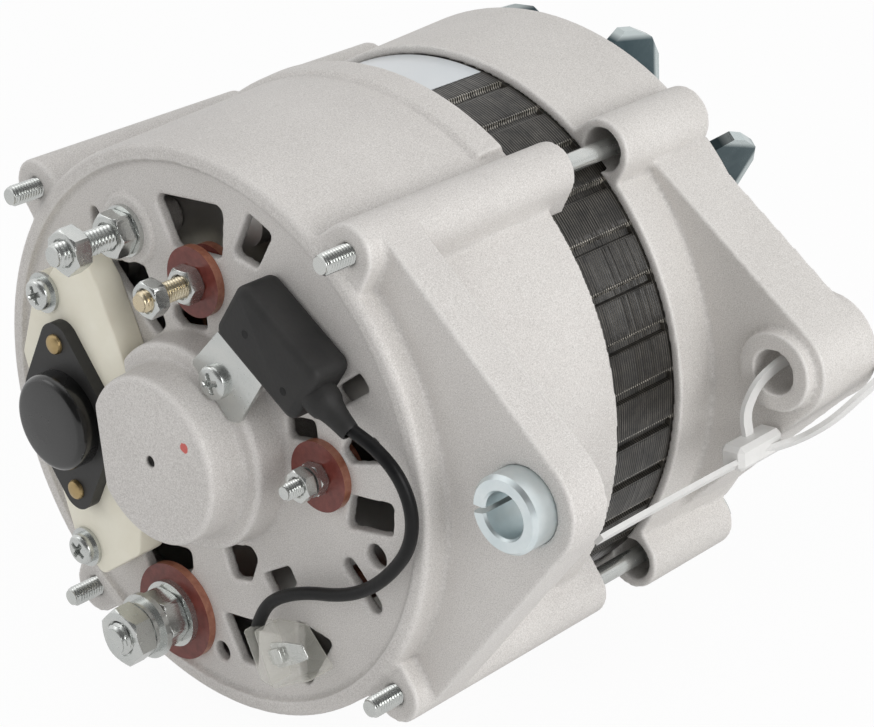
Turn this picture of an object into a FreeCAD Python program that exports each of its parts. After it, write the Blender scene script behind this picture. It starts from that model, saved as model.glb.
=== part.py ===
import FreeCAD, Part
import math
import os
import re
import Sketcher

# Alternator of a heavy vehicle, seen from the slip-ring end. Millimetres.
# The bodies are drawn with the shaft along +Y and the rear face at y = 0, then moved
# together so that the origin is at the rear face of the slit bush in the rear pivot lug.

SIZES = (
    # Whole machine
    ("bolt_half", 52.1, "half the side of the square of the four through-bolts"),
    ("bolt_thread", 5.0, "through-bolt thread diameter"),
    ("bolt_proud", 8.0, "thread standing out of the rear face"),
    ("bolt_head_flats", 8.0, "through-bolt head across flats"),
    ("bolt_head_height", 3.5, "through-bolt head height"),
    ("bolt_clearance", 0.25, "radial clearance of the bolts in their holes"),
    ("seat_gap", 0.02, "radial clearance of a seated piece"),
    ("run_gap", 0.05, "radial clearance of a turning seat"),
    # Stator
    ("stator_radius", 69.0, "outer radius of the lamination stack"),
    ("stator_bore", 48.8, "bore radius of the stack"),
    ("stator_rear", 56.5, "rear face of the stack"),
    ("stator_front", 86.8, "front face of the stack"),
    ("register_depth", 3.0, "depth of each housing's register on the stack"),
    ("tooth_count", 36, "slots of the stack, and grooves on its outside"),
    ("groove_width", 3.2, "groove on the outside of the stack"),
    ("groove_depth", 1.3, "depth of that groove"),
    ("slot_width", 4.2, "winding slot"),
    ("slot_depth", 12.0, "winding slot depth beyond the tooth tip"),
    ("tooth_tip", 1.6, "height of the tooth tip"),
    ("slot_mouth", 2.0, "slot opening at the bore"),
    ("crown_inner", 50.5, "inner radius of the end turns"),
    ("crown_outer", 63.0, "outer radius of the end turns"),
    ("crown_height", 12.5, "height of the end turns"),
    ("crown_round", 4.0, "rounding of the end turns"),
    # Rear housing
    ("rim_radius", 69.7, "outer radius at the rear rim"),
    ("rim_rise", 1.6, "rim standing behind the rear face"),
    ("rim_width", 3.9, "width of the raised rim"),
    ("rear_end", 59.5, "front end of the rear housing"),
    ("rear_end_radius", 72.4, "outer radius at that end"),
    ("face_thickness", 3.0, "rear face wall"),
    ("wall", 3.3, "side wall"),
    ("band_start", 51.0, "start of the raised band at the top and bottom"),
    ("band_radius", 73.9, "outer radius of that band"),
    ("band_angle", 74.0, "angle that the band covers"),
    ("boss_radius", 6.9, "outer radius of the bolt bosses"),
    ("boss_neck", 10.0, "half width of the boss at the wall"),
    ("rear_boss_end", 66.5, "front end of the rear bosses"),
    ("hub_radius", 20.4, "slip ring dome at its end face"),
    ("hub_foot", 21.3, "slip ring dome at its foot"),
    ("hub_height", 18.7, "dome behind the rear face"),
    ("hub_flat", 17.3, "flat on the dome beside the brush holder"),
    ("dome_wall", 3.2, "end wall of the dome"),
    ("dome_bore", 16.4, "inner radius of the dome"),
    ("shoulder_radius", 25.6, "shoulder round the dome"),
    ("shoulder_height", 8.8, "height of the shoulder"),
    ("centre_mark", 1.4, "radius of the centre hole on the dome"),
    ("cast_round", 1.4, "rounding of cast edges"),
    # Pivot lugs
    ("lug_axis_x", 92.1, "pivot axis from the shaft, sideways"),
    ("lug_axis_z", 1.8, "pivot axis above the shaft"),
    ("lug_nose", 13.7, "outer radius of the rear lug"),
    ("lug_rear", 5.0, "rear face of the rear lug"),
    ("lug_thick", 11.0, "rear lug thickness"),
    ("bush_radius", 9.0, "outer radius of the slit bush"),
    ("pivot_bore", 5.25, "bore radius of the bush"),
    ("bush_proud", 6.5, "bush behind the rear lug"),
    ("bush_front", 3.0, "bush in front of the rear lug"),
    ("bush_slit", 1.6, "slit of the bush"),
    ("arm_rear", 95.0, "rear face of the front lug"),
    ("arm_front", 112.0, "front face of the front lug"),
    ("arm_nose", 12.2, "outer radius of the front lug at its rear face"),
    ("arm_draft", 2.5, "draft of the front lug"),
    ("arm_top_x", 46.6, "rounded upper foot of the front lug, sideways"),
    ("arm_top_z", 47.6, "the same, up"),
    ("arm_top_round", 7.2, "its radius"),
    ("arm_low_x", 57.6, "rounded lower foot of the front lug, sideways"),
    ("arm_low_z", -33.9, "the same, up"),
    ("arm_low_round", 7.0, "its radius"),
    ("arm_tip", 13.2, "outer radius of the front lug at its front end"),
    ("front_bore", 5.5, "radius of the bore of the front lug"),
    ("eye_radius", 9.8, "faced ring round the front bore"),
    ("eye_rear", 92.0, "rear face of that ring"),
    ("eye_front", 115.0, "front face of the lug's eye"),
    # Front housing
    ("front_start", 83.8, "rear end of the front housing"),
    ("front_start_radius", 71.4, "outer radius at its rear end"),
    ("front_face", 119.5, "front face of the front housing"),
    ("front_face_radius", 73.2, "outer radius at its front"),
    ("front_round", 2.8, "rounding of the front edge"),
    ("front_boss_end", 115.0, "front end of the front bosses"),
    ("bolt_seat", 6.4, "radius of the flat seat sunk round each bolt head"),
    ("front_boss_radius", 7.6, "outer radius of the front bosses"),
    ("boss_core", 5.4, "radius of the cored hole round each bolt"),
    ("boss_core_depth", 26.0, "depth of that hole"),
    ("front_thickness", 5.0, "front wall"),
    ("vent_inner", 33.0, "inner radius of the front vents"),
    ("vent_outer", 62.0, "outer radius of the front vents"),
    ("vent_count", 8, "front vents"),
    ("vent_width", 12.0, "width of a front vent at its inner end"),
    ("vent_spread", 26.0, "width of a front vent at its outer end"),
    # Shaft and rotor
    ("shaft_radius", 8.5, "shaft at the front bearing and the fan"),
    ("rear_shaft_radius", 7.5, "shaft at the rear bearing"),
    ("core_shaft_radius", 9.5, "shaft inside the rotor"),
    ("ring_shaft_radius", 6.0, "shaft inside the slip rings"),
    ("thread_radius", 8.0, "shaft thread"),
    ("shaft_tip", 171.0, "front end of the shaft"),
    ("thread_start", 157.5, "start of the shaft thread"),
    ("pole_radius", 48.4, "outer radius of the claw poles"),
    ("pole_plate", 11.0, "thickness of a pole's disc"),
    ("pole_root", 36.0, "radius of a pole's disc between its claws"),
    ("pole_rear", 52.0, "rear face of the rotor"),
    ("pole_front", 92.0, "front face of the rotor"),
    ("claw_count", 6, "claws of each pole"),
    ("claw_thick", 9.0, "claw thickness at its root"),
    ("claw_tip_thick", 4.5, "claw thickness at its tip"),
    ("claw_root_width", 27.0, "claw width at its root"),
    ("claw_tip_width", 11.0, "claw width at its tip"),
    ("claw_gap", 2.2, "gap between a claw's tip and the other pole"),
    ("coil_inner", 24.0, "field core radius"),
    ("coil_radius", 36.0, "field coil radius"),
    ("coil_gap", 0.6, "bobbin gap to the poles"),
    # Bearings
    ("front_bearing_radius", 23.5, "front bearing outer radius"),
    ("front_bearing_rear", 103.5, "front bearing rear face"),
    ("front_bearing_width", 14.0, "front bearing width"),
    ("front_ball", 4.2, "front bearing ball radius"),
    ("front_ball_count", 7, "front bearing balls"),
    ("rear_bearing_radius", 17.5, "rear bearing outer radius"),
    ("rear_bearing_rear", 5.0, "rear bearing rear face"),
    ("rear_bearing_width", 11.0, "rear bearing width"),
    ("rear_ball", 3.0, "rear bearing ball radius"),
    ("rear_ball_count", 8, "rear bearing balls"),
    ("race_wall", 0.36, "ring wall as a share of the space between bore and outside"),
    ("ball_gap", 0.04, "clearance of the balls in their grooves"),
    ("retainer_radius", 30.0, "bearing retainer plate"),
    ("retainer_thick", 2.5, "its thickness"),
    ("retainer_screws", 4, "its screws"),
    ("retainer_pitch", 26.6, "their pitch radius"),
    ("retainer_thread", 2.0, "their thread radius"),
    # Slip rings
    ("ring_radius", 12.0, "slip ring radius"),
    ("ring_width", 3.2, "slip ring width"),
    ("ring_rear", -6.9, "rear face of the rear slip ring"),
    ("ring_space", 1.5, "insulation between the rings"),
    ("ring_sleeve", 9.2, "insulating sleeve radius"),
    # Fan
    ("fan_radius", 71.2, "fan outer radius"),
    ("fan_hub", 47.0, "radius of the fan's plain disc"),
    ("fan_sheet", 2.0, "fan sheet"),
    ("fan_rear", 121.4, "rear face of the fan disc"),
    ("fan_front", 137.2, "front edge of the blades"),
    ("fan_blades", 11, "blades"),
    ("fan_first", 53.7, "angle of the first blade's length"),
    ("fan_base", -17.8, "foot of a blade beside the spoke that it lies along"),
    ("fan_edge", -23.2, "front edge of a blade beside that spoke"),
    ("fan_tab", -2.0, "far side of a blade's tab beside that spoke"),
    ("fan_start", 33.0, "inner end of a blade along that spoke"),
    ("fan_tip_round", 6.0, "rounding of a blade's outer corner"),
    ("fan_foot", 4.5, "tabs and feet of the blades inside the fan's outer radius"),
    ("collar_radius", 12.8, "collar behind the fan"),
    ("key_start", 141.0, "rear end of the shaft key"),
    ("key_width", 4.0, "shaft key width"),
    ("key_height", 3.0, "shaft key above its seat"),
    ("key_length", 12.0, "shaft key length"),
    ("nut_flats", 24.0, "shaft nut across flats"),
    ("nut_height", 10.0, "shaft nut height"),
    ("lock_radius", 12.5, "lock washer radius"),
    ("lock_thick", 3.0, "lock washer thickness"),
    # Terminals
    ("plus_x", -19.6, "main terminal, sideways"),
    ("plus_z", -49.6, "main terminal, up"),
    ("plus_radius", 4.0, "main stud"),
    ("plus_end", 21.2, "main stud behind the rear face"),
    ("plus_insulator", 12.4, "its insulating washer"),
    ("minus_x", -19.2, "earth terminal, sideways"),
    ("minus_z", 47.0, "earth terminal, up"),
    ("minus_radius", 3.0, "earth stud"),
    ("minus_end", 22.7, "earth stud behind the rear face"),
    ("minus_pad", 8.4, "raised pad of the earth terminal"),
    ("phase_x", 3.2, "phase terminal, sideways"),
    ("phase_z", 38.4, "phase terminal, up"),
    ("phase_radius", 2.5, "phase stud"),
    ("phase_end", 18.0, "phase stud behind the rear face"),
    ("field_x", 37.4, "exciter terminal, sideways"),
    ("field_z", -1.4, "exciter terminal, up"),
    ("field_radius", 2.0, "exciter stud"),
    ("field_end", 12.6, "exciter stud behind the rear face"),
    ("small_insulator", 8.4, "insulating washer of the two small terminals"),
    ("insulator_thick", 2.1, "insulating washers"),
    ("plus_flats", 13.0, "main terminal nuts and head across flats"),
    ("plus_head", 4.0, "main stud head height"),
    ("plus_washer", 8.4, "washer under the base nut of the main terminal"),
    ("plus_washer_thick", 1.6, "its thickness"),
    ("plus_base_nut", 5.7, "height of that base nut"),
    ("plus_space", 0.8, "space for the cable lug on the main terminal"),
    ("plus_upper", 8.2, "washer over that space"),
    ("plus_upper_thick", 1.4, "its thickness"),
    ("plus_spring", 6.8, "spring washer of the main terminal"),
    ("plus_spring_thick", 2.0, "its thickness"),
    ("plus_nut", 5.6, "height of the outer nut of the main terminal"),
    ("minus_flats", 10.0, "earth terminal nuts and head across flats"),
    ("minus_head", 3.5, "earth stud head height"),
    ("minus_rise", 1.0, "height of the pad of the earth terminal"),
    ("minus_washer", 6.2, "washer of the earth terminal"),
    ("minus_washer_thick", 1.2, "its thickness"),
    ("minus_nut", 4.6, "height of the earth terminal nuts"),
    ("minus_space", 8.4, "bare thread between the earth terminal nuts"),
    ("phase_flats", 8.0, "phase terminal nuts and head across flats"),
    ("phase_nut", 3.8, "height of the phase terminal nuts"),
    ("phase_space", 6.5, "bare thread between the phase terminal nuts"),
    ("field_flats", 7.0, "exciter terminal nuts and head across flats"),
    ("field_base_nut", 2.5, "height of the base nut of the exciter terminal"),
    ("field_washer", 3.7, "washer of the exciter terminal"),
    ("field_washer_thick", 0.8, "its thickness"),
    ("field_space", 0.4, "space for the terminal's eye"),
    ("field_nut", 3.0, "height of the outer nut of the exciter terminal"),
    # Brush holder and regulator
    ("holder_thick", 7.6, "brush holder plate"),
    ("holder_x", -39.2, "regulator axis, sideways"),
    ("holder_round", 2.5, "rounding of the holder's outline"),
    ("screw_top_x", -44.2, "upper holder screw, sideways"),
    ("screw_top_z", 29.8, "upper holder screw, up"),
    ("screw_low_x", -42.4, "lower holder screw, sideways"),
    ("screw_low_z", -35.6, "lower holder screw, up"),
    ("screw_radius", 2.0, "holder screw thread"),
    ("screw_head", 3.9, "holder screw head radius"),
    ("screw_head_height", 2.6, "holder screw head height"),
    ("washer_radius", 5.0, "washer under the holder screws"),
    ("washer_thick", 0.9, "that washer"),
    ("flange_thick", 3.2, "regulator flange"),
    ("flange_radius", 15.3, "regulator flange round its cap"),
    ("flange_ear", 5.2, "regulator flange round a rivet"),
    ("rivet_pitch", 18.6, "rivet from the regulator axis"),
    ("rivet_radius", 1.6, "rivet shank"),
    ("rivet_head", 2.9, "rivet head radius"),
    ("rivet_head_height", 1.3, "rivet head height"),
    ("cap_radius", 12.0, "regulator cap"),
    ("cap_height", 5.7, "regulator cap above its flange"),
    ("brush_width", 2.8, "brush along the shaft"),
    ("brush_breadth", 6.0, "brush across"),
    ("brush_length", 13.0, "brush length"),
    ("brush_gap", 0.05, "brush to slip ring, and to the walls of its channel"),
    ("brush_travel", 4.0, "way that a brush can move back into its box"),
    ("spring_bore", 1.1, "radius of the hole in a brush for its spring"),
    ("spring_reach", 1.0, "spring inside that hole"),
    ("box_half", 4.9, "half height of the brush box"),
    ("box_front", 1.7, "brush box in front of the rear face"),
    ("spring_radius", 0.8, "brush spring coil radius"),
    ("spring_wire", 0.22, "brush spring wire radius"),
    ("spring_turns", 7, "brush spring turns"),
    # Capacitor
    ("case_x", 34.9, "capacitor centre, sideways"),
    ("case_z", 30.2, "capacitor centre, up"),
    ("case_turn", 39.0, "turn of the capacitor"),
    ("case_length", 28.4, "capacitor length"),
    ("case_width", 16.6, "capacitor width"),
    ("case_rear", 11.2, "rear face of the capacitor behind the housing"),
    ("case_depth", 11.1, "capacitor depth"),
    ("case_round", 2.6, "rounding of the capacitor"),
    ("tab_thick", 1.2, "its bracket"),
    ("tab_x", 16.4, "bracket screw, sideways"),
    ("tab_z", 19.9, "bracket screw, up"),
    ("tab_screw_head", 4.1, "bracket screw head radius"),
    ("lead_radius", 1.55, "capacitor lead radius"),
    ("relief_radius", 2.9, "strain relief radius"),
    ("relief_length", 6.6, "strain relief length"),
    ("relief_gap", 0.1, "radial clearance of the lead in its strain relief"),
    ("boot_rear", 9.0, "boot behind the rear face"),
    ("boot_front", 1.0, "its near side"),
    # Rectifier
    ("sink_inner", 30.0, "inner radius of the heat sinks"),
    ("sink_outer", 61.5, "outer radius of the heat sinks"),
    ("sink_thick", 2.5, "heat sink sheet"),
    ("sink_rear", 13.0, "rear face of the heat sinks"),
    ("sink_angle", 150.0, "angle that each heat sink covers"),
    ("diode_radius", 6.35, "diode radius"),
    ("diode_rear", 9.5, "rear face of the diodes"),
    ("diode_length", 8.5, "diode length"),
    ("diode_wire", 0.8, "diode wire radius"),
    ("diode_wire_length", 10.0, "diode wire in front of the diode"),
    ("post_radius", 4.4, "posts under the heat sinks"),
    ("post_screw", 1.5, "heat sink screw radius"),
    ("spacer_radius", 7.5, "insulating pieces round the studs inside"),
    ("stud_head", 3.0, "height of the small studs' heads"),
    # Cable tie
    ("tie_width", 3.0, "cable tie width"),
    ("tie_thick", 1.2, "cable tie thickness"),
    ("tie_head_length", 16.2, "cable tie head length"),
    ("tie_head_width", 6.6, "cable tie head width"),
    ("tie_head_height", 6.0, "cable tie head height"),
)

doc = FreeCAD.newDocument("alternator")
sheet = doc.addObject("Spreadsheet::Sheet", "sizes")
for row, (alias, size, meaning) in enumerate(SIZES, 1):
    sheet.set("A%d" % row, meaning)
    sheet.set("B%d" % row, str(size))
    sheet.setAlias("B%d" % row, alias)
doc.recompute()
ALIASES = {alias for alias, size, meaning in SIZES}
NODES = {}


def bound(words):
    """The expression with each size's name pointing into the spreadsheet."""
    return re.sub(r"[A-Za-z_]\w*", lambda m: "sizes." + m[0] if m[0] in ALIASES else m[0], str(words))


def value(words):
    """What the expression gives with the sheet's present sizes."""
    result = sheet.evalExpression(bound(words).replace("sizes.", ""))
    return float(getattr(result, "Value", result))


def bind(thing, **properties):
    """Binds properties to expressions; a double underline stands for a dot."""
    for name, words in properties.items():
        thing.setExpression(name.replace("__", "."), bound(words))


def node(label, thing):
    """Names a sub-part and moves it so that the origin is at the rear lug's bush."""
    thing.Label = label
    place(thing, "-lug_axis_x", "bush_proud - lug_rear", "-lug_axis_z")
    NODES[label] = thing
    return thing


def place(thing, x="0", y="0", z="0"):
    bind(thing, Placement__Base__x=x, Placement__Base__y=y, Placement__Base__z=z)
    return thing


ALONG_SHAFT = FreeCAD.Rotation(FreeCAD.Vector(1, 0, 0), -90)


def rod(radius, y0, y1, x="0", z="0"):
    """A cylinder along the shaft's direction from y0 to y1."""
    thing = doc.addObject("Part::Cylinder", "rod")
    thing.Placement.Rotation = ALONG_SHAFT
    bind(thing, Radius=radius, Height="(%s) - (%s)" % (y1, y0))
    return place(thing, x, y0, z)


def cone(radius0, radius1, y0, y1, x="0", z="0"):
    """A cone along the shaft's direction."""
    thing = doc.addObject("Part::Cone", "cone")
    thing.Placement.Rotation = ALONG_SHAFT
    bind(thing, Radius1=radius0, Radius2=radius1, Height="(%s) - (%s)" % (y1, y0))
    return place(thing, x, y0, z)


def ball(radius, x="0", y="0", z="0"):
    thing = doc.addObject("Part::Sphere", "ball")
    bind(thing, Radius=radius)
    return place(thing, x, y, z)


def hexagon(flats, y0, y1, x="0", z="0", turn=0):
    """A six-sided prism along the shaft's direction."""
    thing = doc.addObject("Part::Prism", "hexagon")
    thing.Polygon = 6
    thing.Placement.Rotation = FreeCAD.Rotation(FreeCAD.Vector(0, 1, 0), turn).multiply(ALONG_SHAFT)
    bind(thing, Circumradius="(%s) / sqrt(3)" % flats, Height="(%s) - (%s)" % (y1, y0))
    return place(thing, x, y0, z)


def block(x0, x1, y0, y1, z0, z1):
    thing = doc.addObject("Part::Box", "block")
    bind(thing, Length="(%s) - (%s)" % (x1, x0), Width="(%s) - (%s)" % (y1, y0))
    bind(thing, Height="(%s) - (%s)" % (z1, z0))
    return place(thing, x0, y0, z0)


def fuse(*things):
    if len(things) == 1:
        return things[0]
    thing = doc.addObject("Part::MultiFuse", "union")
    thing.Shapes = list(things)
    thing.Refine = True
    return thing


def cut(base, *tools):
    thing = doc.addObject("Part::Cut", "cut")
    thing.Base = base
    thing.Tool = fuse(*tools)
    thing.Refine = True
    return thing


def group(*things):
    """Separate solids that share a node."""
    thing = doc.addObject("Part::Compound", "group")
    thing.Links = list(things)
    return thing


def ring(outer, inner, y0, y1, x="0", z="0"):
    return cut(rod(outer, y0, y1, x, z), rod(inner, "(%s) - 1" % y0, "(%s) + 1" % y1, x, z))


def nut(flats, bore, y0, y1, x, z, turn=0):
    """A nut: a hexagon with its corners turned off at both ends, and its bore."""
    prism = hexagon(flats, y0, y1, x, z, turn)
    wide = "(%s) * 0.58" % flats
    narrow = "(%s) * 0.49" % flats
    bevel = "(%s) * 0.052" % flats
    inner0 = "(%s) + %s" % (y0, bevel)
    inner1 = "(%s) - %s" % (y1, bevel)
    barrel = fuse(cone(narrow, wide, y0, inner0, x, z), rod(wide, inner0, inner1, x, z),
                  cone(wide, narrow, inner1, y1, x, z))
    solid = doc.addObject("Part::MultiCommon", "nut")
    solid.Shapes = [prism, barrel]
    return cut(solid, rod(bore, "(%s) - 1" % y0, "(%s) + 1" % y1, x, z))


def origin_part(body, role):
    return next(part for part in body.Origin.OriginFeatures if part.Role == role)


def sketch_on(body, role, offset="0"):
    """A sketch on a plane of the body; on XZ_Plane the offset is the plane's y."""
    sketch = body.newObject("Sketcher::SketchObject", "outline")
    sketch.AttachmentSupport = (origin_part(body, role), [""])
    sketch.MapMode = "FlatFace"
    sign = "-1 * " if role == "XZ_Plane" else ""
    bind(sketch, AttachmentOffset__Base__z="%s(%s)" % (sign, offset))
    return sketch


def pinned(geometry, point, x, y):
    """Two bound distances that hold a point of the sketch from the origin."""
    return [(Sketcher.Constraint(kind, -1, 1, geometry, point, value(words)), words)
            for kind, words in (("DistanceX", x), ("DistanceY", y))]


def hold(sketch, constraints):
    """Adds the (constraint, expression) pairs together; an expression of None is left out."""
    first = sketch.ConstraintCount
    sketch.addConstraint([constraint for constraint, words in constraints])
    for index, (constraint, words) in enumerate(constraints, first):
        if words is not None:
            sketch.setExpression("Constraints[%d]" % index, bound(words))


def polygon(sketch, corners):
    """A closed outline of (x, y) or (x, y, rounding) corners, all of them bound."""
    spots = [FreeCAD.Vector(value(c[0]), value(c[1]), 0) for c in corners]
    count = len(spots)
    ends = []
    for i, corner in enumerate(corners):
        if len(corner) < 3:
            ends.append((spots[i], spots[i], None))
            continue
        back = (spots[i - 1] - spots[i]).normalize()
        ahead = (spots[(i + 1) % count] - spots[i]).normalize()
        half = back.getAngle(ahead) / 2
        radius = value(corner[2])
        reach = radius / math.tan(half)
        middle = (back + ahead).normalize() * (radius / math.sin(half))
        ends.append((spots[i] + back * reach, spots[i] + ahead * reach, spots[i] + middle))
    lines = []
    held = []
    for i in range(count):
        start = ends[i][1]
        finish = ends[(i + 1) % count][0]
        lines.append(sketch.addGeometry(Part.LineSegment(start, finish)))
    for i, corner in enumerate(corners):
        before = lines[i - 1]
        after = lines[i]
        if ends[i][2] is None:
            held.append((Sketcher.Constraint("Coincident", before, 2, after, 1), None))
            held += pinned(after, 1, corner[0], corner[1])
            continue
        start, finish, centre = ends[i]
        turning = (spots[i] - spots[i - 1]).cross(spots[(i + 1) % count] - spots[i]).z
        first, last = (start, finish) if turning > 0 else (finish, start)
        angles = [math.atan2(p.y - centre.y, p.x - centre.x) for p in (first, last)]
        circle = Part.Circle(centre, FreeCAD.Vector(0, 0, 1), value(corner[2]))
        arc = sketch.addGeometry(Part.ArcOfCircle(circle, angles[0], angles[1]))
        arc_start, arc_end = (1, 2) if turning > 0 else (2, 1)
        tip = sketch.addGeometry(Part.Point(spots[i]), True)
        held.append((Sketcher.Constraint("Tangent", before, 2, arc, arc_start), None))
        held.append((Sketcher.Constraint("Tangent", arc, arc_end, after, 1), None))
        held.append((Sketcher.Constraint("Radius", arc, value(corner[2])), corner[2]))
        held += pinned(tip, 1, corner[0], corner[1])
        held.append((Sketcher.Constraint("PointOnObject", tip, 1, before), None))
        held.append((Sketcher.Constraint("PointOnObject", tip, 1, after), None))
    hold(sketch, held)


def belt(sketch, circles):
    """A closed outline of arcs round the (x, y, radius) circles, given anticlockwise."""
    spots = [(FreeCAD.Vector(value(x), value(y), 0), value(r)) for x, y, r in circles]
    count = len(spots)
    touches = []
    for i in range(count):
        here, r0 = spots[i]
        there, r1 = spots[(i + 1) % count]
        along = there - here
        lean = math.atan2(along.y, along.x) - math.acos((r0 - r1) / along.Length)
        out = FreeCAD.Vector(math.cos(lean), math.sin(lean), 0)
        touches.append((here + out * r0, there + out * r1, lean))
    lines = [sketch.addGeometry(Part.LineSegment(a, b)) for a, b, lean in touches]
    held = []
    for i, (x, y, radius) in enumerate(circles):
        circle = Part.Circle(spots[i][0], FreeCAD.Vector(0, 0, 1), spots[i][1])
        arc = sketch.addGeometry(Part.ArcOfCircle(circle, touches[i - 1][2], touches[i][2]))
        held += pinned(arc, 3, x, y)
        held.append((Sketcher.Constraint("Radius", arc, value(radius)), radius))
        held.append((Sketcher.Constraint("Tangent", lines[i - 1], 2, arc, 1), None))
        held.append((Sketcher.Constraint("Tangent", arc, 2, lines[i], 1), None))
    hold(sketch, held)


def circle(sketch, x, y, radius):
    spot = FreeCAD.Vector(value(x), value(y), 0)
    index = sketch.addGeometry(Part.Circle(spot, FreeCAD.Vector(0, 0, 1), value(radius)))
    hold(sketch, pinned(index, 3, x, y) + [(Sketcher.Constraint("Radius", index, value(radius)), radius)])


def new_body(name):
    return doc.addObject("PartDesign::Body", name)


def turned(body, corners, groove=False):
    """A revolved profile of (radius, y) corners about the shaft, added or cut away."""
    sketch = sketch_on(body, "XY_Plane")
    polygon(sketch, corners)
    kind = "PartDesign::Groove" if groove else "PartDesign::Revolution"
    feature = body.newObject(kind, "turned")
    feature.Profile = sketch
    feature.ReferenceAxis = (origin_part(body, "Y_Axis"), [""])
    feature.Angle = 360
    return feature


def grown(body, y0, y1, draw, taper="0"):
    """Pads what draw puts on a sketch, from y0 forward to y1."""
    sketch = sketch_on(body, "XZ_Plane", y0)
    draw(sketch)
    pad = body.newObject("PartDesign::Pad", "pad")
    pad.Profile = sketch
    pad.Reversed = True
    bind(pad, Length="(%s) - (%s)" % (y1, y0), TaperAngle=taper)
    return pad


def pierced(body, y0, y1, draw):
    """Cuts what draw puts on a sketch, from y0 forward to y1."""
    sketch = sketch_on(body, "XZ_Plane", y0)
    draw(sketch)
    pocket = body.newObject("PartDesign::Pocket", "pocket")
    pocket.Profile = sketch
    bind(pocket, Length="(%s) - (%s)" % (y1, y0))
    return pocket


def repeated(body, feature, count):
    """The feature repeated evenly round the shaft."""
    pattern = body.newObject("PartDesign::PolarPattern", "round")
    pattern.Originals = [feature]
    pattern.Axis = (origin_part(body, "Y_Axis"), [""])
    pattern.Angle = 360
    bind(pattern, Occurrences=count)
    body.Tip = pattern
    return pattern


def spoke(radius, angle):
    """The x and z expressions of a point at a radius and an angle from +X towards +Z."""
    return "(%s) * cos(%s)" % (radius, angle), "(%s) * sin(%s)" % (radius, angle)


def slot(sketch, x0, z0, x1, z1, radius):
    belt(sketch, ((x0, z0, radius), (x1, z1, radius)))


def bolt_circles(sketch, radius):
    for sx in ("-1", "1"):
        for sz in ("-1", "1"):
            circle(sketch, sx + " * bolt_half", sz + " * bolt_half", radius)


# The four bosses are one outline each, wider where they meet the wall
def boss_outlines(sketch, radius):
    for sx in (-1, 1):
        for sz in (-1, 1):
            inner = ("%d * (bolt_half - boss_neck)" % sx, "%d * (bolt_half - boss_neck)" % sz, "boss_neck")
            outer = ("%d * bolt_half" % sx, "%d * bolt_half" % sz, radius)
            belt(sketch, (inner, outer))


def rear_lug(sketch):
    """Plate from the upper boss round the pivot to the lower boss."""
    belt(sketch, (
        ("bolt_half", "-bolt_half", "boss_radius"),
        ("lug_axis_x", "lug_axis_z", "lug_nose"),
        ("bolt_half", "bolt_half", "boss_radius"),
    ))


def front_lug(sketch):
    """Plate from beside the upper boss round the pivot to the wall above the lower boss."""
    belt(sketch, (
        ("arm_low_x", "arm_low_z", "arm_low_round"),
        ("lug_axis_x", "lug_axis_z", "arm_nose"),
        ("arm_top_x", "arm_top_z", "arm_top_round"),
    ))


# Openings of the rear face: corners in x and z with the corner radius of each
FACE_WINDOWS = (
    (((-9.3, 57.1), (-4.5, 44.7), (11.6, 44.4), (14.2, 57.0)), 2.0),
    (((15.3, 46.3), (23.0, 44.0), (29.4, 52.9), (22.1, 56.9)), 1.2),
    (((-29.7, 37.6), (-14.5, 21.6), (-10.8, 24.9), (-16.3, 39.4)), 1.4),
    (((-7.4, 27.4), (-5.3, 25.8), (3.6, 26.2), (3.8, 31.3), (-7.2, 30.6)), 1.0),
    (((42.7, 19.7), (45.9, 16.6), (54.8, 21.6), (52.0, 25.4)), 1.0),
    (((43.3, 5.1), (45.7, 2.7), (56.6, 5.0), (55.6, 10.4), (47.3, 11.2)), 1.0),
    (((42.5, -13.3), (57.0, -12.2), (58.2, -4.2), (44.9, -4.8)), 1.0),
    (((26.7, 4.7), (36.2, 5.6), (36.2, 11.0), (26.8, 10.1)), 1.2),
    (((1.1, -36.5), (7.7, -35.5), (11.0, -28.9), (9.2, -26.2), (-1.1, -28.1)), 1.6),
    (((11.8, -32.6), (15.6, -38.1), (23.6, -32.2), (21.6, -27.9)), 0.8),
    (((-4.2, -46.6), (0.6, -58.4), (6.1, -58.3), (8.3, -45.8)), 1.2),
    (((21.8, -41.6), (20.7, -58.0), (23.8, -58.0), (33.6, -44.2)), 1.0),
    (((-32.9, -34.1), (-28.5, -43.3), (-13.4, -38.2), (-12.6, -32.4)), 1.6),
)
# Round holes of the rear face: x, z and radius
FACE_HOLES = ((51.0, -18.4, 3.0), (-6.2, -57.4, 2.5))
# Slots of the rear face: the two ends and half the width
FACE_SLOTS = ((42.2, -23.2, 48.6, -30.6, 2.3), (-31.4, 45.6, -31.4, 49.2, 1.4))


# Places in x and z of the posts and the diodes of the two heat sinks
EARTH_POSTS = ((42.1, 30.6), (-48.2, 19.5))
PLUS_POSTS = ((-48.9, -17.8), (35.7, -32.1))
EARTH_DIODES = ((9.5, 50.5), (28.4, 43.4), (-39.5, 33.5))
PLUS_DIODES = ((-41.0, -32.0), (7.2, -51.5), (22.8, -46.7))


def face_openings(body):
    front = "face_thickness + 1"
    for corners, radius in FACE_WINDOWS:
        pierced(body, "-2", front, lambda s: polygon(s, [(x, z, radius) for x, z in corners]))
    for x, z, radius in FACE_HOLES:
        pierced(body, "-2", front, lambda s: circle(s, x, z, radius))
    for x0, z0, x1, z1, radius in FACE_SLOTS:
        pierced(body, "-2", front, lambda s: slot(s, x0, z0, x1, z1, radius))


def terminal_holes(sketch):
    for name in ("plus", "minus", "phase", "field"):
        circle(sketch, name + "_x", name + "_z", name + "_radius + bolt_clearance")


def holder_holes(sketch):
    circle(sketch, "screw_top_x", "screw_top_z", "screw_radius + seat_gap")
    circle(sketch, "screw_low_x", "screw_low_z", "screw_radius + seat_gap")


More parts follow.
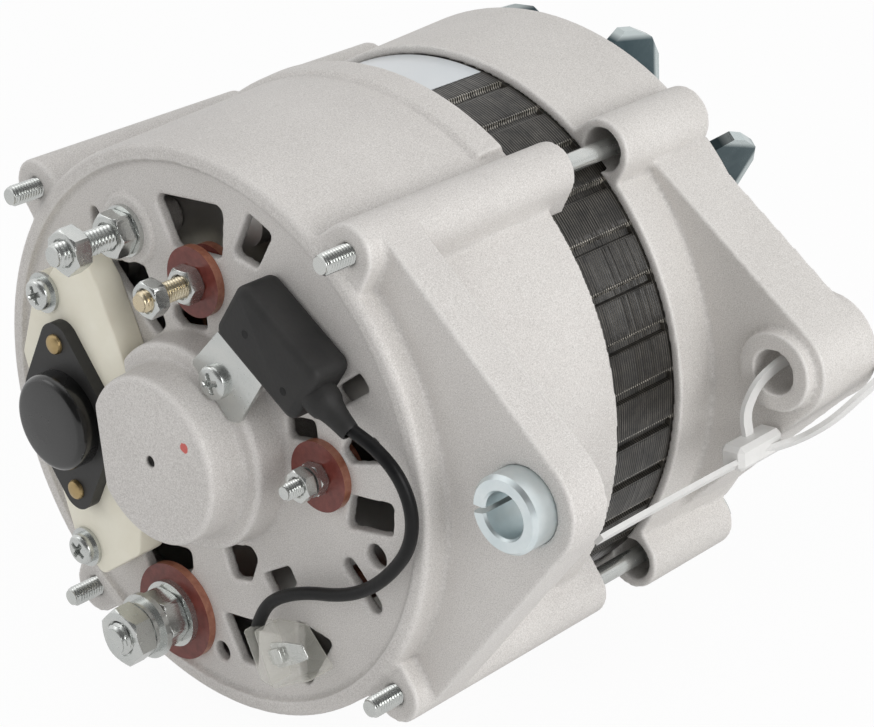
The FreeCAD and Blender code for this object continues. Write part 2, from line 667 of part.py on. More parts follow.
def rear_housing():
    """Cast rear housing: open cup with a pierced face, slip ring dome, bosses and pivot lug."""
    body = new_body("rear_housing")
    turned(body, (
        ("0", "-hub_height"),
        ("hub_radius", "-hub_height", "cast_round"),
        ("hub_foot", "-shoulder_height"),
        ("shoulder_radius - 0.4", "-shoulder_height", "cast_round"),
        ("shoulder_radius", "0"),
        ("rim_radius - rim_width", "0"),
        ("rim_radius - rim_width", "-rim_rise"),
        ("rim_radius", "-rim_rise", "cast_round"),
        ("rear_end_radius", "rear_end"),
        ("0", "rear_end"),
    ))
    band_sketch = sketch_on(body, "YZ_Plane")
    polygon(band_sketch, (
        ("band_start", "rim_radius - wall"),
        ("rear_end", "rim_radius - wall"),
        ("rear_end", "band_radius", "cast_round"),
        ("band_start", "band_radius - 0.6", "cast_round"),
    ))
    band = body.newObject("PartDesign::Revolution", "band")
    band.Profile = band_sketch
    band.ReferenceAxis = (origin_part(body, "Y_Axis"), [""])
    band.Midplane = True
    bind(band, Angle="band_angle")
    repeated(body, band, 2)
    grown(body, "0", "rear_boss_end", lambda s: boss_outlines(s, "boss_radius"))
    grown(body, "lug_rear", "lug_rear + lug_thick", rear_lug)
    grown(body, "-shoulder_height", "1", lambda s: circle(s, "tab_x", "tab_z", "tab_screw_head + 2"))
    grown(body, "-minus_rise", "1", lambda s: circle(s, "minus_x", "minus_z", "minus_pad"))
    turned(body, (
        ("0", "-hub_height + dome_wall"),
        ("dome_bore", "-hub_height + dome_wall"),
        ("dome_bore", "rear_bearing_rear - 2"),
        ("rear_bearing_radius - 2", "rear_bearing_rear - 2"),
        ("rear_bearing_radius - 2", "rear_bearing_rear"),
        ("rear_bearing_radius + seat_gap", "rear_bearing_rear"),
        ("rear_bearing_radius + seat_gap", "rear_bearing_rear + rear_bearing_width"),
        ("rear_bearing_radius + wall", "rear_bearing_rear + rear_bearing_width"),
        ("rear_bearing_radius + wall + 0.6", "face_thickness", "cast_round"),
        ("rim_radius - wall - 1", "face_thickness", "cast_round"),
        ("rear_end_radius - wall - 1.5", "rear_end - register_depth"),
        ("stator_radius + seat_gap", "rear_end - register_depth"),
        ("stator_radius + seat_gap", "rear_boss_end + 1"),
        ("0", "rear_boss_end + 1"),
    ), groove=True)
    posts = (("minus_x", "minus_z"),) + EARTH_POSTS
    grown(body, "face_thickness - 0.5", "sink_rear", lambda s: [circle(s, x, z, "post_radius") for x, z in posts])
    face_openings(body)
    pierced(body, "-2", "sink_rear + 1", terminal_holes)
    pierced(body, "face_thickness", "sink_rear + 1", lambda s: [
        circle(s, x, z, "post_screw + seat_gap") for x, z in EARTH_POSTS])
    pierced(body, "1", "face_thickness + 1", lambda s: [
        circle(s, x, z, "post_screw + seat_gap") for x, z in PLUS_POSTS])
    pierced(body, "-1", "face_thickness + 1", holder_holes)
    pierced(body, "-1", "rear_boss_end + 1", lambda s: bolt_circles(s, "bolt_thread / 2 + seat_gap"))
    pierced(body, "lug_rear - 1", "lug_rear + lug_thick + 1",
            lambda s: circle(s, "lug_axis_x", "lug_axis_z", "bush_radius + seat_gap"))
    pierced(body, "-hub_height - 1", "0", lambda s: polygon(s, (
        ("-shoulder_radius - 1", "-shoulder_radius - 1"), ("-hub_flat", "-shoulder_radius - 1"),
        ("-hub_flat", "shoulder_radius + 1"), ("-shoulder_radius - 1", "shoulder_radius + 1"))))
    pierced(body, "-holder_thick - brush_gap", "box_front + 0.3", lambda s: polygon(s, (
        ("holder_x - 6.2", "-box_half - 0.3"), ("-ring_radius - 2", "-box_half - 0.3"),
        ("-ring_radius - 2", "box_half + 0.3"), ("holder_x - 6.2", "box_half + 0.3"))))
    pierced(body, "-hub_height - 1", "-hub_height + 1.6", lambda s: circle(s, "0", "0", "centre_mark"))
    pierced(body, "-shoulder_height - 1", "face_thickness + 1",
            lambda s: circle(s, "tab_x", "tab_z", "screw_radius + seat_gap"))
    return node("rear_housing", body)


def front_housing():
    """Cast front housing: cup over the stator's front, bearing hub, vents, bosses and pivot lug."""
    body = new_body("front_housing")
    turned(body, (
        ("0", "front_start"),
        ("front_start_radius", "front_start"),
        ("front_face_radius", "front_face", "front_round"),
        ("0", "front_face"),
    ))
    grown(body, "front_start", "front_boss_end", lambda s: boss_outlines(s, "front_boss_radius"))
    grown(body, "arm_rear", "arm_front", front_lug, "arm_draft")
    grown(body, "eye_rear", "arm_rear + 1", lambda s: circle(s, "lug_axis_x", "lug_axis_z", "eye_radius"))
    grown(body, "arm_front - 1", "eye_front", lambda s: circle(s, "lug_axis_x", "lug_axis_z", "arm_tip"))
    hub_inner = "front_bearing_rear + front_bearing_width"
    turned(body, (
        ("0", "front_start - 1"),
        ("stator_radius + seat_gap", "front_start - 1"),
        ("stator_radius + seat_gap", "front_start + register_depth"),
        ("front_start_radius - wall - 1.5", "front_start + register_depth"),
        ("front_face_radius - wall - 1.5", "front_face - front_thickness", "front_round - 1"),
        ("retainer_radius + 1.5", "front_face - front_thickness"),
        ("retainer_radius + 1", "front_bearing_rear"),
        ("front_bearing_radius + seat_gap", "front_bearing_rear"),
        ("front_bearing_radius + seat_gap", hub_inner),
        ("collar_radius + 1.4", hub_inner),
        ("collar_radius + 1.4", "front_face + 1"),
        ("0", "front_face + 1"),
    ), groove=True)
    pierced(body, "front_start - 1", "front_start + boss_core_depth", lambda s: bolt_circles(s, "boss_core"))
    pierced(body, "front_start - 1", "front_boss_end + 1",
            lambda s: bolt_circles(s, "bolt_thread / 2 + bolt_clearance"))
    pierced(body, "front_boss_end", "front_face + 1", lambda s: bolt_circles(s, "bolt_seat"))
    pierced(body, "eye_rear - 1", "eye_front + 1", lambda s: circle(s, "lug_axis_x", "lug_axis_z", "front_bore"))
    vent = pierced(body, "front_face - front_thickness - 4", "front_face + 1", lambda s: polygon(s, (
        ("vent_inner", "-vent_width / 2", "2"), ("vent_outer", "-vent_spread / 2", "4"),
        ("vent_outer", "vent_spread / 2", "4"), ("vent_inner", "vent_width / 2", "2"))))
    repeated(body, vent, "vent_count")
    screws = pierced(body, "front_bearing_rear - 1", "front_bearing_rear + 9",
                     lambda s: circle(s, "0", "retainer_pitch", "retainer_thread + seat_gap"))
    repeated(body, screws, "retainer_screws")
    return node("front_housing", body)


def stator_core():
    """Lamination stack with its winding slots and the grooves on its outside."""
    body = new_body("stator_core")
    turned(body, (
        ("stator_bore", "stator_rear"), ("stator_radius", "stator_rear"),
        ("stator_radius", "stator_front"), ("stator_bore", "stator_front")))
    lip = "stator_bore + tooth_tip"
    slots = pierced(body, "stator_rear - 1", "stator_front + 1", lambda s: polygon(s, (
        ("stator_bore - 2", "-slot_mouth / 2"), (lip, "-slot_mouth / 2"), (lip, "-slot_width / 2"),
        (lip + " + slot_depth", "-slot_width / 2"), (lip + " + slot_depth", "slot_width / 2"),
        (lip, "slot_width / 2"), (lip, "slot_mouth / 2"), ("stator_bore - 2", "slot_mouth / 2"))))
    repeated(body, slots, "tooth_count")
    foot = "front_start - 0.6"
    grooves = pierced(body, "rear_end + 0.6", foot, lambda s: polygon(s, (
        ("stator_radius - groove_depth", "-groove_width / 4"), ("stator_radius + 1", "-groove_width / 2"),
        ("stator_radius + 1", "groove_width / 2"), ("stator_radius - groove_depth", "groove_width / 4"))))
    repeated(body, grooves, "tooth_count")
    return node("stator_core", body)


def stator_winding():
    """End turns on both sides of the stack, joined by the bars in its slots."""
    body = new_body("stator_winding")
    for face, way in (("stator_rear - 0.3", "-"), ("stator_front + 0.3", "+")):
        tip = "%s %s crown_height" % (face, way)
        corners = [("crown_inner", face), ("crown_outer", face), ("crown_outer", tip, "crown_round"),
                   ("crown_inner", tip, "crown_round")]
        turned(body, corners if way == "+" else corners[::-1])
    lip = "stator_bore + tooth_tip + 0.2"
    reach = "stator_bore + tooth_tip + slot_depth"
    bars = grown(body, "stator_rear - 1", "stator_front + 1", lambda s: polygon(s, (
        (lip, "-slot_width / 2 + 0.2"), (reach, "-slot_width / 2 + 0.2"),
        (reach, "slot_width / 2 - 0.2"), (lip, "slot_width / 2 - 0.2"))))
    repeated(body, bars, "tooth_count")
    return node("stator_winding", body)


def through_bolts():
    """Four long bolts from the front bosses, threaded into the rear ones."""
    bolts = []
    for sx in ("-1", "1"):
        for sz in ("-1", "1"):
            x = sx + " * bolt_half"
            z = sz + " * bolt_half"
            shank = rod("bolt_thread / 2", "-bolt_proud + 0.8", "front_boss_end + 1", x, z)
            tip = cone("bolt_thread / 2 - 0.7", "bolt_thread / 2", "-bolt_proud", "-bolt_proud + 0.8", x, z)
            head = hexagon("bolt_head_flats", "front_boss_end", "front_boss_end + bolt_head_height", x, z)
            bolts.append(fuse(shank, tip, head))
    return node("through_bolts", group(*bolts))


def rotor_shaft():
    """Stepped shaft from the slip rings to the thread of the pulley nut."""
    body = new_body("rotor_shaft")
    rear_seat_end = "rear_bearing_rear + rear_bearing_width"
    turned(body, (
        ("0", "ring_rear - 2"),
        ("ring_shaft_radius", "ring_rear - 2"),
        ("ring_shaft_radius", "rear_bearing_rear - 1"),
        ("rear_shaft_radius", "rear_bearing_rear - 1"),
        ("rear_shaft_radius", rear_seat_end),
        ("core_shaft_radius", rear_seat_end),
        ("core_shaft_radius", "front_bearing_rear - 4"),
        ("shaft_radius + 2.5", "front_bearing_rear - 4"),
        ("shaft_radius + 2.5", "front_bearing_rear"),
        ("shaft_radius", "front_bearing_rear"),
        ("shaft_radius", "thread_start"),
        ("thread_radius", "thread_start"),
        ("thread_radius", "shaft_tip - 1"),
        ("thread_radius - 1", "shaft_tip"),
        ("0", "shaft_tip"),
    ))
    seat = body.newObject("Sketcher::SketchObject", "key_seat")
    seat.AttachmentSupport = (origin_part(body, "XY_Plane"), [""])
    seat.MapMode = "FlatFace"
    bind(seat, AttachmentOffset__Base__z="shaft_radius + 1")
    half = "key_width / 2 + seat_gap"
    rear = "key_start - seat_gap"
    front = "key_start + key_length + seat_gap"
    polygon(seat, (("-(%s)" % half, rear), (half, rear), (half, front), ("-(%s)" % half, front)))
    pocket = body.newObject("PartDesign::Pocket", "key_pocket")
    pocket.Profile = seat
    bind(pocket, Length="1 + key_height / 2")
    return node("rotor_shaft", body)


def claw_pole(label, root, tip, way):
    """A pole: disc with claws that reach over the field coil towards the other pole."""
    body = new_body(label)
    inner = "%s %s pole_plate" % (root, way)
    corners = [("core_shaft_radius + seat_gap", root), ("pole_root", root), ("pole_root", inner),
               ("core_shaft_radius + seat_gap", inner)]
    turned(body, corners)
    end = "%s - (%s1) * claw_gap" % (tip, way)
    profile = body.newObject("Sketcher::SketchObject", "claw_side")
    profile.AttachmentSupport = (origin_part(body, "XY_Plane"), [""])
    profile.MapMode = "FlatFace"
    polygon(profile, (
        ("pole_root - 6", root), ("pole_radius", root), ("pole_radius", end),
        ("pole_radius - claw_tip_thick", end), ("pole_radius - claw_thick", inner), ("pole_root - 6", inner)))
    claw = body.newObject("PartDesign::Pad", "claw")
    claw.Profile = profile
    claw.Midplane = True
    bind(claw, Length="claw_root_width")
    repeated(body, claw, "claw_count")
    return body


def claw_poles():
    """Two claw poles whose tapered fingers interleave."""
    for label, root, tip, way in (("claw_pole_rear", "pole_rear", "pole_front", "+"),
                                  ("claw_pole_front", "pole_front", "pole_rear", "-")):
        body = claw_pole(label, root, tip, way)
        pitch = 360 / value("claw_count")
        limit = rod("pole_radius", "pole_rear", "pole_front")
        wedges = []
        for k in range(int(value("claw_count"))):
            wedge = doc.addObject("Part::Wedge", "claw_taper")
            bind(wedge, Xmin="-claw_root_width / 2", Xmax="claw_root_width / 2", Ymin="0",
                 Ymax="pole_front - pole_rear", Zmin="0", Zmax="pole_radius + 1",
                 X2min="-claw_tip_width / 2", X2max="claw_tip_width / 2", Z2min="0", Z2max="pole_radius + 1")
            turn = FreeCAD.Rotation(FreeCAD.Vector(0, 1, 0), 90 + pitch * k)
            flip = FreeCAD.Rotation() if way == "+" else FreeCAD.Rotation(FreeCAD.Vector(0, 0, 1), 180)
            wedge.Placement.Rotation = turn.multiply(flip)
            place(wedge, "0", root, "0")
            wedges.append(wedge)
        keep = fuse(rod("pole_root", "pole_rear", "pole_front"), *wedges)
        shaped = doc.addObject("Part::MultiCommon", "shaped_claws")
        shaped.Shapes = [body, keep, limit]
        if way == "-":
            shaped.Placement.Rotation = FreeCAD.Rotation(FreeCAD.Vector(0, 1, 0), pitch / 2)
        node(label, shaped)


def field_coil():
    """Field coil on its core between the two poles."""
    rear = "pole_rear + pole_plate + coil_gap"
    front = "pole_front - pole_plate - coil_gap"
    node("field_coil", ring("coil_radius", "coil_inner", rear, front))
    node("rotor_core", ring("coil_inner", "core_shaft_radius + seat_gap",
                            "pole_rear + pole_plate", "pole_front - pole_plate"))


def slip_rings():
    """Two copper rings on an insulating sleeve behind the rear bearing."""
    second = "ring_rear + ring_width + ring_space"
    node("slip_rings", group(
        ring("ring_radius", "ring_sleeve", "ring_rear", "ring_rear + ring_width"),
        ring("ring_radius", "ring_sleeve", second, second + " + ring_width")))
    node("slip_ring_sleeve", ring("ring_sleeve", "ring_shaft_radius + seat_gap", "ring_rear - 1",
                                  "rear_bearing_rear - 1.2"))


def bearing(name, bore, outer, rear, width, ball_radius, count):
    """Deep groove ball bearing: two races with their grooves, a cage and its balls."""
    middle = "(%s) + (%s) / 2" % (rear, width)
    pitch = "((%s) + (%s)) / 2" % (bore, outer)
    step = "((%s) - (%s)) * race_wall" % (outer, bore)
    groove = doc.addObject("Part::Torus", "groove")
    groove.Placement.Rotation = ALONG_SHAFT
    bind(groove, Radius1=pitch, Radius2="(%s) + ball_gap" % ball_radius)
    place(groove, "0", middle, "0")
    front = "(%s) + (%s)" % (rear, width)
    inner = ring("(%s) + %s" % (bore, step), "(%s) + seat_gap" % bore, rear, front)
    outer_ring = ring(outer, "(%s) - %s" % (outer, step), rear, front)
    node(name + "_inner_race", cut(inner, groove))
    second = doc.addObject("Part::Torus", "groove")
    second.Placement.Rotation = ALONG_SHAFT
    bind(second, Radius1=pitch, Radius2="(%s) + ball_gap" % ball_radius)
    place(second, "0", middle, "0")
    node(name + "_outer_race", cut(outer_ring, second))
    balls = []
    pockets = []
    number = int(value(count))
    for k in range(number):
        x, z = spoke(pitch, "360 / %s * %d" % (count, k))
        balls.append(ball(ball_radius, x, middle, z))
        pockets.append(ball("(%s) + ball_gap" % ball_radius, x, middle, z))
    band = ring("%s + 0.9" % pitch, "%s - 0.9" % pitch, "(%s) - (%s) * 0.6" % (middle, ball_radius),
                "(%s) + (%s) * 0.6" % (middle, ball_radius))
    node(name + "_cage", cut(band, *pockets))
    node(name + "_balls", group(*balls))


def bearings():
    bearing("front_bearing", "shaft_radius", "front_bearing_radius", "front_bearing_rear",
            "front_bearing_width", "front_ball", "front_ball_count")
    bearing("rear_bearing", "rear_shaft_radius", "rear_bearing_radius", "rear_bearing_rear",
            "rear_bearing_width", "rear_ball", "rear_ball_count")


def bearing_retainer():
    """Plate that holds the front bearing, with its four screws."""
    rear = "front_bearing_rear - retainer_thick"
    plate = ring("retainer_radius", "shaft_radius + 5", rear, "front_bearing_rear")
    holes = []
    screws = []
    for k in range(int(value("retainer_screws"))):
        x, z = spoke("retainer_pitch", "90 + 360 / retainer_screws * %d" % k)
        holes.append(rod("retainer_thread + seat_gap", rear + " - 1", "front_bearing_rear + 1", x, z))
        shank = rod("retainer_thread", rear, "front_bearing_rear + 8", x, z)
        screws.append(fuse(shank, rod("retainer_thread * 1.6", rear + " - 2", rear, x, z)))
    node("bearing_retainer", cut(plate, *holes))
    node("retainer_screws", group(*screws))


def fan():
    """Stamped fan: a disc with tabs, each folded forward into a leaning blade."""
    body = new_body("fan")
    disc_front = "fan_rear + fan_sheet"
    grown(body, "fan_rear", disc_front, lambda s: circle(s, "0", "0", "fan_hub"))
    side = sketch_on(body, "YZ_Plane", "fan_start")
    polygon(side, (
        ("fan_rear", "fan_base"), ("fan_front", "fan_edge"), ("fan_front", "fan_edge + fan_sheet"),
        (disc_front, "fan_base + fan_sheet", "1.5"), (disc_front, "fan_tab"), ("fan_rear", "fan_tab")))
    blade = body.newObject("PartDesign::Pad", "blade")
    blade.Profile = side
    bind(blade, Length="fan_radius - fan_start + 1")
    repeated(body, blade, "fan_blades")
    trim = turned(body, (
        ("fan_radius - fan_foot", disc_front), ("fan_radius - fan_foot", "fan_rear - 1"),
        ("fan_radius + 6", "fan_rear - 1"), ("fan_radius + 6", "fan_front + 1"),
        ("fan_radius - fan_tip_round", "fan_front + 1"), ("fan_radius - fan_tip_round", "fan_front"),
        ("fan_radius - fan_tip_round * 0.3", "fan_front - fan_tip_round * 0.3"),
        ("fan_radius", "fan_front - fan_tip_round"), ("fan_radius", disc_front + " + fan_foot")), groove=True)
    body.Tip = trim
    pierced(body, "fan_rear - 1", disc_front + " + 1", lambda s: circle(s, "0", "0", "shaft_radius + seat_gap"))
    body.Placement.Rotation = FreeCAD.Rotation(FreeCAD.Vector(0, 1, 0), -value("fan_first"))
    return node("fan", body)


def shaft_hardware():
    """Collar behind the fan, key, lock washer and nut."""
    node("fan_collar", ring("collar_radius", "shaft_radius + seat_gap",
                            "front_bearing_rear + front_bearing_width", "fan_rear"))
    node("shaft_key", group(block("-key_width / 2", "key_width / 2", "key_start",
                                  "key_start + key_length", "shaft_radius - key_height / 2",
                                  "shaft_radius + key_height / 2")))
    nut_rear = "thread_start + lock_thick"
    node("lock_washer", ring("lock_radius", "thread_radius + seat_gap", "thread_start", nut_rear))
    node("shaft_nut", nut("nut_flats", "thread_radius + seat_gap", nut_rear, nut_rear + " + nut_height",
                          "0", "0"))


def terminal(name, seat, head_rear, head_height, stack):
    """A headed stud, with the (kind, outer size, thickness, turn) pieces stacked on it from its seat."""
    x = name + "_x"
    z = name + "_z"
    radius = name + "_radius"
    end = "-" + name + "_end"
    stud = fuse(rod(radius, end + " + 0.6", head_rear + " + 0.1", x, z),
                cone(radius + " * 0.8", radius, end, end + " + 0.6", x, z),
                hexagon(name + "_flats", head_rear, head_rear + " + " + head_height, x, z))
    nuts = []
    washers = []
    front = seat
    for kind, size, thickness, turn in stack:
        rear = "%s - %s" % (front, thickness)
        if kind == "nut":
            nuts.append(nut(size, radius + " + seat_gap", rear, front, x, z, turn))
        if kind == "washer":
            washers.append(ring(size, radius + " + seat_gap", rear, front, x, z))
        front = rear
    return stud, nuts, washers


def terminals():
    """Main, earth, phase and exciter terminals with their nuts and washers."""
    behind_sink = "sink_rear + sink_thick"
    inside = "face_thickness + insulator_thick"
    made = {
        "plus": terminal("plus", "-insulator_thick", behind_sink, "plus_head", (
            ("washer", "plus_washer", "plus_washer_thick", 0), ("nut", "plus_flats", "plus_base_nut", 12),
            ("space", "", "plus_space", 0), ("washer", "plus_upper", "plus_upper_thick", 0),
            ("washer", "plus_spring", "plus_spring_thick", 0), ("nut", "plus_flats", "plus_nut", 20))),
        "minus": terminal("minus", "-minus_rise", behind_sink, "minus_head", (
            ("washer", "minus_washer", "minus_washer_thick", 0), ("nut", "minus_flats", "minus_nut", 8),
            ("space", "", "minus_space", 0), ("nut", "minus_flats", "minus_nut", 26))),
        "phase": terminal("phase", "-insulator_thick", inside, "stud_head", (
            ("nut", "phase_flats", "phase_nut", 5), ("space", "", "phase_space", 0),
            ("nut", "phase_flats", "phase_nut", 18))),
        "field": terminal("field", "-insulator_thick", inside, "stud_head", (
            ("nut", "field_flats", "field_base_nut", 0), ("washer", "field_washer", "field_washer_thick", 0),
            ("space", "", "field_space", 0), ("nut", "field_flats", "field_nut", 20))),
    }
    washers_of_all = []
    for name, (stud, nuts, washers) in made.items():
        node(name + "_stud", stud)
        node(name + "_nuts", group(*nuts))
        washers_of_all += washers
    node("terminal_washers", group(*washers_of_all))


def insulators():
    """Red washers outside the rear face, and the pieces inside that keep the studs off it."""
    node("outer_insulators", group(*[
        ring(size, name + "_radius + seat_gap", "-insulator_thick", "0", name + "_x", name + "_z")
        for name, size in (("plus", "plus_insulator"), ("phase", "small_insulator"),
                           ("field", "small_insulator"))]))
    pieces = [ring("spacer_radius", name + "_radius + seat_gap", "face_thickness",
                   "face_thickness + insulator_thick", name + "_x", name + "_z") for name in ("phase", "field")]
    pieces.append(ring("spacer_radius", "plus_radius + seat_gap", "face_thickness", "sink_rear", "plus_x",
                       "plus_z"))
    for x, z in PLUS_POSTS:
        pieces.append(ring("post_radius", "post_screw + seat_gap", "face_thickness", "sink_rear", x, z))
        front = "sink_rear + sink_thick"
        pieces.append(ring("post_radius", "post_screw + seat_gap", front, front + " + 1.5", x, z))
    node("inner_insulators", group(*pieces))


def brush_holder():
    """Moulded plate beside the dome, with a box that guides the two brushes."""
    body = new_body("brush_holder")
    grown(body, "-holder_thick", "0", lambda s: polygon(s, (
        ("-hub_flat - 0.3", "-14"), ("-hub_flat - 0.3", "14"), ("-24.4", "34.6", "holder_round"),
        ("-28.6", "41.4", "holder_round"), ("-38.0", "38.4", "holder_round"), ("-50.0", "26.6", "holder_round"),
        ("-56.6", "12.6", "holder_round"), ("-50.6", "-17.6", "5"), ("-46.8", "-33.6", "holder_round"),
        ("-38.4", "-42.4", "holder_round"), ("-23.0", "-33.4", "holder_round"))))
    grown(body, "-1", "box_front", lambda s: polygon(s, (
        ("holder_x - 6", "-box_half"), ("-hub_flat - 0.3", "-box_half"),
        ("-hub_flat - 0.3", "box_half"), ("holder_x - 6", "box_half"))))
    grown(body, "-holder_thick", "box_front", lambda s: polygon(s, (
        ("-hub_flat - 1", "-box_half"), ("-ring_radius - 2.6", "-box_half"),
        ("-ring_radius - 2.6", "box_half"), ("-hub_flat - 1", "box_half"))))
    pierced(body, "-holder_thick - 1", "1", lambda s: (
        circle(s, "screw_top_x", "screw_top_z", "screw_radius + bolt_clearance"),
        circle(s, "screw_low_x", "screw_low_z", "screw_radius + bolt_clearance"),
        circle(s, "holder_x", "rivet_pitch", "rivet_radius + seat_gap"),
        circle(s, "holder_x", "-rivet_pitch", "rivet_radius + seat_gap")))
    channels = [block("holder_x - 2", "-ring_radius", "(%s) - brush_width / 2 - brush_gap" % middle,
                      "(%s) + brush_width / 2 + brush_gap" % middle, "-brush_breadth / 2 - brush_gap",
                      "brush_breadth / 2 + brush_gap") for middle in BRUSH_PLACES]
    return node("brush_holder", cut(body, *channels))


BRUSH_PLACES = ("ring_rear + ring_width / 2", "ring_rear + ring_width * 1.5 + ring_space")


def brushes():
    """Two carbon brushes, each with a coil spring between its hollow back and the end of its channel."""
    for name, middle in zip(("rear", "front"), BRUSH_PLACES):
        back = "-ring_radius - brush_gap - brush_length"
        shape = block(back, "-ring_radius + 2", "(%s) - brush_width / 2" % middle,
                      "(%s) + brush_width / 2" % middle, "-brush_breadth / 2", "brush_breadth / 2")
        hollow = rod("ring_radius + brush_gap", "(%s) - brush_width" % middle, "(%s) + brush_width" % middle)
        hole = doc.addObject("Part::Cylinder", "spring_hole")
        hole.Placement.Rotation = FreeCAD.Rotation(FreeCAD.Vector(0, 1, 0), 90)
        bind(hole, Radius="spring_bore", Height="spring_reach + brush_travel + 1.4")
        place(hole, back + " - 1", middle, "0")
        node("brush_" + name, cut(shape, hollow, hole))
        start = value("holder_x - 2 + seat_gap + spring_wire")
        length = value(back + " + spring_reach - spring_wire") - start
        coil = Part.makeHelix(length / value("spring_turns"), length, value("spring_radius"))
        first = coil.Vertexes[0].Point
        section = Part.Wire(Part.makeCircle(value("spring_wire"), first, FreeCAD.Vector(0, 1, 0.2)))
        spring = Part.Wire(coil.Edges).makePipeShell([section], True, True)
        thing = doc.addObject("Part::Feature", "coil")
        thing.Shape = spring
        thing.Placement.Rotation = FreeCAD.Rotation(FreeCAD.Vector(0, 1, 0), 90)
        place(thing, str(start), middle, "0")
        node("brush_spring_" + name, group(thing))


def regulator():
    """Regulator: oval flange with a round cap, held by two rivets."""
    front = "-holder_thick"
    back = "-holder_thick - flange_thick"
    body = new_body("regulator_flange")
    grown(body, back, front, lambda s: belt(s, (
        ("holder_x", "-rivet_pitch", "flange_ear"), ("holder_x + 0.01", "0", "flange_radius"),
        ("holder_x", "rivet_pitch", "flange_ear"), ("holder_x - 0.01", "0", "flange_radius"))))
    pierced(body, back + " - 1", front + " + 1", lambda s: (
        circle(s, "holder_x", "rivet_pitch", "rivet_radius + seat_gap"),
        circle(s, "holder_x", "-rivet_pitch", "rivet_radius + seat_gap")))
    flange = cut(body, block("-hub_flat - 0.3", "0", back + " - 1", "1", "-30", "30"))
    node("regulator_flange", flange)


def cap_and_rivets():
    back = "-holder_thick - flange_thick"
    cap = fuse(rod("cap_radius", back + " - cap_height + 1", back, "holder_x", "0"),
               cone("cap_radius - 1", "cap_radius", back + " - cap_height", back + " - cap_height + 1",
                    "holder_x", "0"))
    node("regulator_cap", cap)
    rivets = []
    for sign in ("", "-"):
        shank = rod("rivet_radius", back + " - 0.1", "-0.2", "holder_x", sign + "rivet_pitch")
        head = cone("rivet_head * 0.7", "rivet_head", back + " - rivet_head_height", back, "holder_x",
                    sign + "rivet_pitch")
        rivets.append(fuse(shank, head))
    node("regulator_rivets", group(*rivets))


def holder_screws():
    """Screws of the brush holder and of the capacitor's bracket, with the holder's washers."""
    screws = []
    washers = []
    for name in ("screw_top", "screw_low"):
        x = name + "_x"
        z = name + "_z"
        seat = "-holder_thick - washer_thick"
        head = fuse(rod("screw_head", seat + " - screw_head_height + 0.6", seat, x, z),
                    cone("screw_head - 0.7", "screw_head", seat + " - screw_head_height",
                         seat + " - screw_head_height + 0.6", x, z))
        screws.append(fuse(head, rod("screw_radius", seat + " - 0.1", "face_thickness", x, z)))
        washers.append(ring("washer_radius", "screw_radius + bolt_clearance", seat, "-holder_thick", x, z))
    node("holder_screws", group(*screws))
    node("holder_washers", group(*washers))
    seat = "-shoulder_height - tab_thick"
    head = fuse(rod("tab_screw_head", seat + " - screw_head_height + 0.6", seat, "tab_x", "tab_z"),
                cone("tab_screw_head - 0.8", "tab_screw_head", seat + " - screw_head_height",
                     seat + " - screw_head_height + 0.6", "tab_x", "tab_z"))
    node("bracket_screw", fuse(head, rod("screw_radius", seat + " - 0.1", "face_thickness", "tab_x", "tab_z")))


def capacitor():
    """Suppression capacitor on its bracket, and the strain relief of its lead."""
    body = new_body("capacitor_case")
    grown(body, "-case_rear", "-case_rear + case_depth", lambda s: polygon(s, turned_box(
        "case_x", "case_z", "case_length / 2", "case_width / 2", "-case_turn", "case_round")))
    node("capacitor_case", body)
    bracket = new_body("capacitor_bracket")
    plate_rear = "-shoulder_height - tab_thick"
    edge = "case_width / 2 + 0.1"
    near = [("case_x - (%s) * cos(case_turn) - (%s) * sin(case_turn)" % (u, edge),
             "case_z + (%s) * sin(case_turn) - (%s) * cos(case_turn)" % (u, edge)) for u in ("13.4", "-2.6")]
    grown(bracket, plate_rear, "-shoulder_height", lambda s: polygon(s, (
        near[0], ("8.9", "23.0", "1"), ("19.2", "11.0", "1.5"), ("22.6", "11.2", "1.5"), near[1])))
    pierced(bracket, plate_rear + " - 1", "-shoulder_height + 1",
            lambda s: circle(s, "tab_x", "tab_z", "screw_radius + bolt_clearance"))
    node("capacitor_bracket", bracket)


def turned_box(x, z, half_length, half_width, turn, rounding):
    """Corners of a rounded box about (x, z), turned from +X towards +Z."""
    corners = []
    for su, sv in ((-1, -1), (1, -1), (1, 1), (-1, 1)):
        u = "%d * (%s)" % (su, half_length)
        v = "%d * (%s)" % (sv, half_width)
        corners.append(("%s + %s * cos(%s) - %s * sin(%s)" % (x, u, turn, v, turn),
                        "%s + %s * sin(%s) + %s * cos(%s)" % (z, u, turn, v, turn), rounding))
    return corners


# Route of the capacitor's lead from the end of its case to the terminal boot
LEAD_ROUTE = (
    (46.0, -6.6, 21.2), (52.6, -6.6, 15.9), (60.6, -5.8, 12.2), (66.4, -4.9, 6.2), (68.6, -4.3, -2.0),
    (66.6, -4.2, -10.4), (60.6, -4.2, -17.6), (52.6, -4.2, -24.0), (43.4, -4.4, -28.0), (31.6, -4.7, -30.0),
    (22.6, -5.0, -33.4), (16.8, -5.0, -37.9), (14.0, -5.0, -43.2),
)


